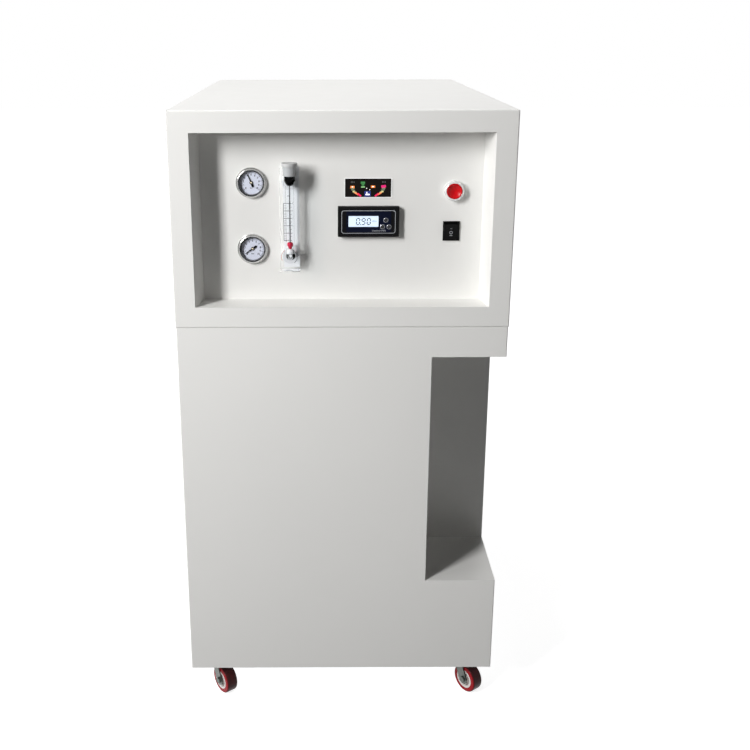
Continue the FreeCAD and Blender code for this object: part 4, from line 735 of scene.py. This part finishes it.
DISPLAY_HOLE = rounded_box(DISPLAY_WIDTH, DISPLAY_HEIGHT, 0.8, DISPLAY_X / MM, DISPLAY_Z / MM)
KEY_OUTLINES = [circle(hole.x / MM, hole.z / MM, 4.0) for hole in KEY_HOLES]
face_plate = bmesh.new()
holed_plate(face_plate, rounded_box(FACE_WIDTH, FACE_HEIGHT, 1.0), [DISPLAY_HOLE, *KEY_OUTLINES],
            FACE_OUT - 0.05, FACE_OUT + 0.15, meter_place)
piece("meter_face", face_plate, charcoal_face, "cabinet", smooth=False)
field = bmesh.new()
NAVY = rounded_box(70, 33.0, 2.0, 0.4, 0.4)
holed_plate(field, NAVY, [DISPLAY_HOLE, *KEY_OUTLINES], FACE_OUT + 0.15, FACE_OUT + 0.22, meter_place)
piece("meter_field", field, navy_face, "cabinet", smooth=False)
line = band(bmesh.new(), rounded_box(84.6, 36.4, 4.2), rounded_box(83.2, 35.0, 3.5),
            FACE_OUT + 0.15, FACE_OUT + 0.24, meter_place)
piece("meter_line", line, silver_print, "cabinet")

display_glow = lamp("display backlight", (0.72, 0.84, 0.96), 0.32)
coat(display_glow, "meter_display")
display_ink = finish("display ink", (0.035, 0.045, 0.08), 0.4, 0.5, grain=800, depth=0.001,
                     specular=0.2)
SEGMENTS = {"0": "abcdef", "9": "abcdfg"}
DIGIT_WIDTH, DIGIT_HEIGHT, STROKE, SLANT = 4.9, 9.8, 1.4, 0.09


def digit(shape, figure, x, y, place):
    """One seven-segment figure, leaning a little to the right."""
    half, tall = DIGIT_WIDTH / 2, DIGIT_HEIGHT / 2
    ends = {
        "a": ((-half, tall), (half, tall)), "b": ((half, tall), (half, 0)), "c": ((half, 0), (half, -tall)),
        "d": ((-half, -tall), (half, -tall)), "e": ((-half, 0), (-half, -tall)),
        "f": ((-half, tall), (-half, 0)), "g": ((-half, 0), (half, 0))}
    for segment in SEGMENTS[figure]:
        start, end = (Vector(point) for point in ends[segment])
        along = (end - start).normalized()
        side = Vector((-along.y, along.x)) * STROKE / 2
        start, end = start + along * 0.45, end - along * 0.45
        tip = along * STROKE / 2
        corners = [start, start + tip + side, end - tip + side, end, end - tip - side, start + tip - side]
        outline = [(x + c.x + c.y * SLANT, y + c.y) for c in corners]
        prism(shape, outline, FACE_OUT + 0.02, FACE_OUT + 0.08, place)


reading = bmesh.new()
DIGIT_PITCH = 8.4
READING_X = DISPLAY_X / MM - DIGIT_PITCH
for place, figure in enumerate("090"):
    digit(reading, figure, READING_X + place * DIGIT_PITCH, DISPLAY_Z / MM, meter_place)
prism(reading, circle(READING_X + 3.8, DISPLAY_Z / MM - 4.9, 0.7, 16), FACE_OUT + 0.02, FACE_OUT + 0.08,
      meter_place)
piece("meter_reading", reading, display_ink, "cabinet", smooth=False)
unit_place = meter_place @ Matrix.Translation((DISPLAY_X + 17.0 * MM, DISPLAY_Z + 0.4 * MM,
                                               (FACE_OUT + 0.05) * MM))
printed("meter_unit", [letters("µS/cm", 0.0030, unit_place, INK)], display_ink, "cabinet")
caption_place = meter_place @ Matrix.Translation((0.0165, -0.0142, (FACE_OUT + 0.25) * MM))
printed("meter_caption", [letters("CONDUCTIVITY", 0.0030, caption_place, INK)], silver_print, "cabinet")

silver_key = finish("silvered key", (0.42, 0.43, 0.46), 0.15, 0.25, grain=900, depth=0.004, metallic=1)
key_black = finish("key pad", (0.010, 0.010, 0.012), 0.12, 0.2, grain=700, depth=0.004,
                   specular=0.4)
STEM_CLEARANCE = 0.2
for k in (1, 2, 3):
    low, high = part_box(f"meter_key_{k}")
    key_place = on_panel((low.x + high.x) / 2, (low.z + high.z) / 2)
    radius = (high.x - low.x) / 2 / MM
    out = proud(f"meter_key_{k}")
    back = (PANEL_Y - high.y) / MM + STEM_CLEARANCE
    key = turned(bmesh.new(), [(0, back), (1.9, back), (1.9, FACE_OUT - 0.05), (radius, FACE_OUT - 0.05),
                               (radius, out - 0.75), (radius - 0.12, out - 0.45), (radius - 0.35, out - 0.2),
                               (radius - 0.6, out - 0.12), (radius - 0.75, out - 0.35), (0, out - 0.35)],
                 key_place, 64)
    piece(f"key_cap_{k}", key, silver_key, f"key_{k}", [f"meter_key_{k}"])
    pad = turned(bmesh.new(), [(0, out - 0.36), (radius - 0.77, out - 0.36), (radius - 0.77, out - 0.28),
                               (radius - 1.7, out - 0.14), (0, out - 0.02)], key_place, 48)
    piece(f"key_pad_{k}", pad, key_black, f"key_{k}")


# ---- push-button --------------------------------------------------------------------------------
# A panel push-button: a white collar screwed through the panel, and a red moulded cap, dished for
# the finger, that slides in it against a spring.

button_low, button_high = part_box("button_cap")
BUTTON = centre("button_cap")
CAP_RADIUS = (button_high.x - button_low.x) / 2 / MM
CAP_OUT = proud("button_cap")
RING_OUT = proud("button_ring")
BORE = CAP_RADIUS + 0.1
button_place = on_panel(BUTTON.x, BUTTON.z)
collar_white = finish("white collar", (0.74, 0.74, 0.74), 0.14, 0.22, grain=500, depth=0.01, metallic=0.35)
cap_red = finish("red cap", (0.56, 0.004, 0.008), 0.2, 0.3, grain=400, depth=0.01, tone=0.03,
                 specular=0.15)
COLLAR_PROFILE = [
    (5.1, -22), (11, -22), (11, -5.5), (14, -5.5), (14, -1.5), (11, -1.5), (11, 0), (15.2, 0),
    (15.2, RING_OUT - 3.2), (15.0, RING_OUT - 1.8), (14.6, RING_OUT - 0.8), (14.0, RING_OUT - 0.2),
    (13.3, RING_OUT), (12.7, RING_OUT - 0.1), (BORE + 0.15, RING_OUT - 0.4), (BORE, RING_OUT - 0.8),
    (BORE, 1.4), (5.1, 1.4)]
collar = turned(bmesh.new(), COLLAR_PROFILE, button_place, 96, True)
piece("button_collar", collar, collar_white, "cabinet", ["button_ring"])
FINGER_DISH = [(r, CAP_OUT - 4.4 + 4.0 * (r / 10.6) ** 2) for r in (10.2, 9.2, 8.0, 6.6, 5.0, 3.2, 1.5, 0)]
CAP_PROFILE = [
    (0, -16), (5, -16), (5, 5.7), (CAP_RADIUS - 0.1, 5.7), (CAP_RADIUS - 0.1, CAP_OUT - 1.6),
    (CAP_RADIUS - 0.2, CAP_OUT - 0.8), (CAP_RADIUS - 0.5, CAP_OUT - 0.25), (CAP_RADIUS - 0.9, CAP_OUT),
    (CAP_RADIUS - 1.3, CAP_OUT - 0.2), *FINGER_DISH]
cap = turned(bmesh.new(), CAP_PROFILE, button_place, 96)
piece("button_red_cap", cap, cap_red, "push_button", ["button_cap"])


# ---- rocker switch ------------------------------------------------------------------------------
# A snap-in mains switch, all black. The rocker's lower half has a printed ring and its upper half a
# printed bar.

rocker_black = finish("rocker moulding", (0.005, 0.005, 0.005), 0.3, 0.4, grain=600, depth=0.012,
                      specular=0.06)
coat(rocker_black, "switch_rocker")
PIVOT_OUT, ROCKER_TILT = -1.0, 10
switch = centre("switch_body")
rocker_face = (on_panel(switch.x, switch.z, PIVOT_OUT * MM)
               @ Matrix.Rotation(math.radians(ROCKER_TILT), 4, "X"))
RISE, DIP, HALF_LENGTH = 4.8, 2.6, 12.0


def on_rocker(height, lift):
    """A place on the half of the rocker's face that lies at this height from its pivot."""
    slope = math.atan2(RISE - DIP, HALF_LENGTH)
    out = DIP + abs(height) * math.tan(slope) + lift
    lean = slope if height < 0 else -slope
    return rocker_face @ Matrix.Translation((0, height * MM, out * MM)) @ Matrix.Rotation(-lean, 4, "X")


pad_print = finish("grey pad print", (0.30, 0.31, 0.33), 0.4, 0.5, grain=900, depth=0.002)
switch_marks = band(bmesh.new(), circle(0, 0, 2.6), circle(0, 0, 1.7), 0, 0.06, on_rocker(-2.2, 0.03))
prism(switch_marks, rounded_box(4.4, 1.2, 0.3), 0, 0.06, on_rocker(-6.8, 0.03))
prism(switch_marks, rounded_box(3.6, 0.6, 0.2), 0, 0.06, on_rocker(4.4, 0.03))
piece("rocker_marks", switch_marks, pad_print, "rocker", smooth=False)


# ---- casters ------------------------------------------------------------------------------------
# Zinc-plated swivel forks, coloured darker than the plating as painted shade, white nylon hubs, and
# red polyurethane tyres with painted shade on the tread. Four bolts through the base pan hold each plate.

tyre_red = finish("polyurethane tyre", (0.34, 0.004, 0.010), 0.25, 0.42, grain=260, depth=0.04, tone=0.10,
                  spread=40, dust=0.04, specular=0.12)
hub_white = finish("nylon hub", (0.80, 0.76, 0.73), 0.3, 0.42, grain=400, depth=0.02, tone=0.03, dust=0.05)
# The forks' colour is painted shade: far darker than the zinc plate used elsewhere.
fork_zinc_painted_shade = finish("plated fork painted shade", (0.12, 0.13, 0.12), 0.26, 0.45, grain=160, depth=0.03, tone=0.16,
                   spread=90, dust=0.15, metallic=1)
# The near-black colour of the painted shade on the tyre treads.
TREAD_PAINTED_SHADE = (0.035, 0.008, 0.008, 1)


def wheel_axis(k, middle):
    """The direction of a wheel's axle: the way in which its tyre is narrowest."""
    vertices = nodes[f"caster_tyre_{k}"].data.vertices
    points = {tuple(round(c, 5) for c in vertex.co - middle) for vertex in vertices}
    ways = [(math.cos(math.radians(a)), math.sin(math.radians(a))) for a in range(0, 180, 2)]
    narrowest = min(ways, key=lambda way: max(abs(x * way[0] + y * way[1]) for x, y, _ in points))
    return Vector((*narrowest, 0))


def worn_tread(k):
    """The tyre of one wheel, with painted shade darkening it where it is farthest from its axle."""
    material = tyre_red.copy()
    material.name = f"polyurethane tyre {k}"
    tree = material.node_tree
    colour = tree.nodes["Principled BSDF"].inputs["Base Color"]
    low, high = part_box(f"caster_tyre_{k}")
    middle, radius = (low + high) / 2, (high.z - low.z) / 2
    place = add(tree, "ShaderNodeTexCoord").outputs["Object"]
    off = add(tree, "ShaderNodeVectorMath", {0: place, 1: middle}, operation="SUBTRACT").outputs[0]
    along = add(tree, "ShaderNodeVectorMath", {0: off, 1: wheel_axis(k, middle)}, operation="DOT_PRODUCT")
    reach = add(tree, "ShaderNodeVectorMath", {0: off}, operation="LENGTH")
    squares = [maths(tree, "MULTIPLY", *[node.outputs["Value"]] * 2) for node in (reach, along)]
    off_axis = maths(tree, "SUBTRACT", *squares)
    patchy = map_range(tree, noise(tree, place, 220.0, 4), 0.3, 0.6, 0.9, 1.0)
    # Painted shade: darkens the tread, farthest from the axle, towards near black, broken up by noise.
    tread_shade = map_range(tree, off_axis, (radius - 2.2 * MM) ** 2, (radius - 0.4 * MM) ** 2, 0.0, 1.0)
    shaded_colour = mixed(tree, maths(tree, "MULTIPLY", tread_shade, patchy), colour.links[0].from_socket, TREAD_PAINTED_SHADE)
    tree.links.new(shaded_colour, colour)
    return material


for k in (1, 2, 3, 4):
    coat(worn_tread(k), f"caster_tyre_{k}")
    coat(hub_white, f"caster_hub_{k}")
    coat(fork_zinc_painted_shade, f"caster_fork_{k}")


# ---- fasteners and rear connections -------------------------------------------------------------
# Zinc-plated hexagon bolts with nuts hold the casters, and pan-head screws the rear panels. The
# water lines push into acetal connectors with a hexagon nut and a blue collet.

def islands(node):
    """The low and high corner of each loose solid in a CAD piece."""
    shape = bmesh.new()
    shape.from_mesh(nodes[node].data)
    bmesh.ops.remove_doubles(shape, verts=shape.verts, dist=1e-6)
    left, found = set(shape.verts), []
    while left:
        front, part = [left.pop()], []
        while front:
            vertex = front.pop()
            part.append(vertex.co)
            near = {edge.other_vert(vertex) for edge in vertex.link_edges} & left
            left -= near
            front += near
        found.append([Vector(pick(axis) for axis in zip(*part)) for pick in (min, max)])
    shape.free()
    return sorted(found, key=lambda box: tuple(box[0]))


def set_out():
    """A small part set out on the points of the mesh that the tree is given."""
    tree, given, made = node_tree("set out", [("Part", "Object"), ("Material", "Material")])
    part = add(tree, "GeometryNodeObjectInfo", {"Object": given.outputs["Part"]})
    points = add(tree, "GeometryNodeMeshToPoints", {"Mesh": given.outputs["Geometry"]})
    placed = add(tree, "GeometryNodeInstanceOnPoints", {"Points": points.outputs["Points"],
                                                        "Instance": part.outputs["Geometry"]})
    return close_tree(tree, given, made, placed)


def polar(radius_at, steps=48):
    """An outline, in mm, from its radius at each angle in degrees."""
    turns = [360 * k / steps for k in range(steps)]
    return [tuple(radius_at(a) * way(math.radians(a)) for way in (math.cos, math.sin)) for a in turns]


def hexagon(radius):
    """The outline of a bolt head or nut, from its middle to a corner."""
    return polar(lambda a: radius * math.cos(math.radians(30)) / math.cos(math.radians(a % 60 - 30)))


def cross(arm, half_width):
    """The outline of a cross recess."""
    edge = math.degrees(math.atan2(half_width, arm))

    def radius_at(a):
        off = abs((a + 45) % 90 - 45)
        return arm / math.cos(math.radians(off)) if off <= edge else half_width / math.sin(math.radians(off))

    return polar(radius_at)


def set_of(name, levels, turn, places, material, replaced=(), ring=False):
    """One small part, made from outlines at their levels, repeated at its places."""
    shape = bmesh.new()
    loops = [[turn @ (Vector((x, y, level)) * MM) for x, y in outline] for outline, level in levels]
    skin(shape, loops, ring)
    bmesh.ops.recalc_face_normals(shape, faces=shape.faces)
    part = bpy.data.objects.new("part", mesh_of("part", shape))
    bpy.context.scene.collection.objects.link(part)
    made = grown(SET_OUT, Matrix(), places, Part=part, Material=material)
    bpy.data.objects.remove(part)
    shape = bmesh.new()
    shape.from_mesh(made)
    piece(name, shape, material, "cabinet", replaced)


def rounds(*steps):
    """Round outlines, each from its radius and its level."""
    return [(circle(0, 0, radius, 48), level) for radius, level in steps]


SET_OUT = set_out()
bolts = islands("caster_bolts")
BOLT_RADIUS = (bolts[0][1].x - bolts[0][0].x) / 2 / MM
BOLT_LENGTH = (bolts[0][1].z - bolts[0][0].z) / MM
HEAD, NUT, SHANK = 4.0, 5.0, 3.0
ROUND, SIX = circle(0, 0, 0.86 * BOLT_RADIUS, 48), hexagon(BOLT_RADIUS)
THREAD = circle(0, 0, SHANK, 48)
set_of("caster_hex_bolts",
       [(ROUND, 0), (SIX, 0.5), (SIX, HEAD), (THREAD, HEAD), (THREAD, BOLT_LENGTH - NUT),
        (SIX, BOLT_LENGTH - NUT), (SIX, BOLT_LENGTH - 0.5), (ROUND, BOLT_LENGTH)],
       Matrix(), [Vector(((low.x + high.x) / 2, (low.y + high.y) / 2, low.z)) for low, high in bolts],
       zinc_plate, ["caster_bolts"])

BACKWARDS = Matrix.Rotation(-math.pi / 2, 4, "X")
screws = islands("rear_screws")
SCREW_LENGTH = (screws[0][1].y - screws[0][0].y) / MM
SCREW_HEAD = 2.4
set_of("rear_pan_screws",
       rounds((1.6, 0), (2, 0.4), (2, SCREW_LENGTH - SCREW_HEAD), (4, SCREW_LENGTH - SCREW_HEAD),
              (4, SCREW_LENGTH - 1.4), (3.6, SCREW_LENGTH - 0.6), (2.8, SCREW_LENGTH - 0.1),
              (2.5, SCREW_LENGTH))
       + [(cross(2.1, 0.5), SCREW_LENGTH), (cross(1.6, 0.35), SCREW_LENGTH - 1.3)],
       BACKWARDS, [Vector(((low.x + high.x) / 2, low.y, (low.z + high.z) / 2)) for low, high in screws],
       zinc_plate, ["rear_screws"])

ports = islands("rear_ports")
PORT_LENGTH = (ports[0][1].y - ports[0][0].y) / MM
COLLET = 15
SHOULDER, PORT_END = PORT_LENGTH - COLLET, PORT_LENGTH
port_places = [Vector(((low.x + high.x) / 2, low.y, (low.z + high.z) / 2)) for low, high in ports]
port_grey = finish("acetal connector", (0.55, 0.56, 0.55), 0.3, 0.42, grain=400, depth=0.02)
collet_blue = finish("blue collet", (0.02, 0.10, 0.36), 0.3, 0.42, grain=400, depth=0.02)
set_of("port_connectors",
       rounds((2.2, 0), (6.9, 0), (6.9, SHOULDER)) + [(hexagon(11), SHOULDER), (hexagon(11), SHOULDER + 5.4)]
       + rounds((9.4, SHOULDER + 6), (7, SHOULDER + 6), (7, PORT_END - 2.6), (6.4, PORT_END - 2),
                (3.25, PORT_END - 2), (3.25, SHOULDER), (2.2, SHOULDER)),
       BACKWARDS, port_places, port_grey, ["rear_ports"], ring=True)
set_of("port_collets",
       rounds(*((radius, PORT_END - depth) for radius, depth in (
           (3.3, 2), (4.6, 2), (4.6, 1.3), (5.8, 1.3), (5.8, 0.3), (5.5, 0), (3.6, 0), (3.3, 0.3)))),
       BACKWARDS, port_places, collet_blue, ring=True)


# ---- inside the cases ---------------------------------------------------------------------------
# Bought-in units: blue filter heads on white housings, wound cartridges, white membrane housings
# and columns, a cast pump on rubber feet, valves and a folded aluminium power supply.

filter_blue = finish("filter head moulding", (0.03, 0.12, 0.36), 0.3, 0.42, grain=300, depth=0.03, dust=0.1)
housing_white = finish("housing moulding", (0.78, 0.79, 0.80), 0.3, 0.42, grain=300, depth=0.02, dust=0.08)
wound_fibre = finish("wound fibre", (0.72, 0.71, 0.68), 0.8, 0.95, grain=350, depth=0.4, tone=0.08, spread=30)
pump_casting = finish("painted casting", (0.06, 0.065, 0.07), 0.4, 0.55, grain=220, depth=0.1, dust=0.2)
supply_sheet = finish("folded aluminium", (0.62, 0.63, 0.64), 0.3, 0.42, grain=300, depth=0.01, metallic=1)
coat(filter_blue, "filter_heads")
coat(housing_white, "filter_sumps", "membrane_housings", "membrane_saddles", "polishing_columns",
     "solenoid_valves")
coat(wound_fibre, "filter_cartridges")
coat(pump_casting, "booster_pump")
coat(finish("rubber feet", (0.015, 0.015, 0.015), 0.6, 0.8, grain=500, depth=0.05, dust=0.15), "pump_feet")
coat(supply_sheet, "power_supply")


# ---- room, lamps and camera ---------------------------------------------------------------------
# A plain white room: a wide pale floor, two windows at the left, a ceiling light and one behind.
# The viewer stands in front, a little left of the middle.

scene = bpy.context.scene
scene.view_settings.view_transform = "Standard"


def seen_ray(tree):
    """1 for camera, mirror and glass rays, and 0 for the light that falls on the object."""
    path = add(tree, "ShaderNodeLightPath").outputs
    seen = maths(tree, "MAXIMUM", path["Is Camera Ray"], path["Is Glossy Ray"])
    return maths(tree, "MAXIMUM", seen, path["Is Transmission Ray"])


def make_world():
    """A white surround to look at, which sheds next to no light on the object."""
    world = bpy.data.worlds.new("studio")
    scene.world = world
    world.use_nodes = True
    tree = world.node_tree
    background = tree.nodes["Background"]
    colour = mixed(tree, seen_ray(tree), (0.03, 0.03, 0.03, 1), (1, 1, 1, 1))
    tree.links.new(colour, background.inputs["Color"])
    background.inputs["Strength"].default_value = 1.0


def make_floor():
    """A wide pale floor that keeps the object's shadow."""
    shape = bmesh.new()
    bmesh.ops.create_grid(shape, x_segments=8, y_segments=8, size=12)
    floor = bpy.data.objects.new("floor", mesh_of("floor", shape))
    scene.collection.objects.link(floor)
    material, tree, shader = blank("studio floor")
    seen = seen_ray(tree)
    colour = mixed(tree, seen, (0.30, 0.30, 0.30, 1), (0.62, 0.62, 0.62, 1))
    place = add(tree, "ShaderNodeTexCoord").outputs["Object"]
    away = add(tree, "ShaderNodeVectorMath", {0: place}, operation="LENGTH").outputs["Value"]
    level = map_range(tree, away, 0.6, 1.6, 0.86, 1.0)
    tree.links.new(colour, shader.inputs["Base Color"])
    shader.inputs["Emission Color"].default_value = (1, 1, 1, 1)
    tree.links.new(maths(tree, "MULTIPLY", level, seen), shader.inputs["Emission Strength"])
    shader.inputs["Roughness"].default_value = 0.9
    shader.inputs["Specular IOR Level"].default_value = 0.0
    floor.data.materials.append(material)


def make_lamp(name, at, towards, size, power, spread=180):
    """A soft box, as wide and as high as its size; a grid narrows its spread."""
    light = bpy.data.lights.new(name, "AREA")
    light.shape = "RECTANGLE"
    light.size, light.size_y = size
    light.energy = power
    light.spread = math.radians(spread)
    lamp_object = bpy.data.objects.new(name, light)
    lamp_object.location = at
    lamp_object.rotation_euler = (Vector(towards) - Vector(at)).to_track_quat("-Z", "Y").to_euler()
    scene.collection.objects.link(lamp_object)


def make_camera():
    """The viewer stands in front, a little left of the middle, and looks down at the machine."""
    camera = bpy.data.cameras.new("viewer")
    camera.sensor_width = 36
    camera.lens = 46.94
    camera.shift_x, camera.shift_y = 0.0667, -0.0867
    viewer = bpy.data.objects.new("viewer", camera)
    ahead = Vector((0.00178, 0.95942, -0.28198))
    above = Vector((0.00309, 0.28198, 0.95942))
    right = ahead.cross(above)
    turn = Matrix((right, above, -ahead)).transposed()
    viewer.matrix_world = Matrix.Translation((-0.02949, -1.86612, 1.15382)) @ turn.to_4x4()
    scene.collection.objects.link(viewer)
    scene.camera = viewer


make_world()
make_floor()
make_lamp("window", (-1.57, -1.96, 1.85), (-0.1, -0.4, 1.0), (0.42, 1.3), 30, 120)
make_lamp("side window", (-2.4, -1.2, 1.7), (-0.1, -0.4, 1.0), (0.8, 1.4), 10, 160)
make_lamp("ceiling", (0, 0.45, 2.7), (0, 0.45, 0), (1.2, 0.8), 21)
make_lamp("back", (-1.6, 3.0, 0.75), (0, 0.3, 0.5), (1.0, 1.0), 45)
make_camera()
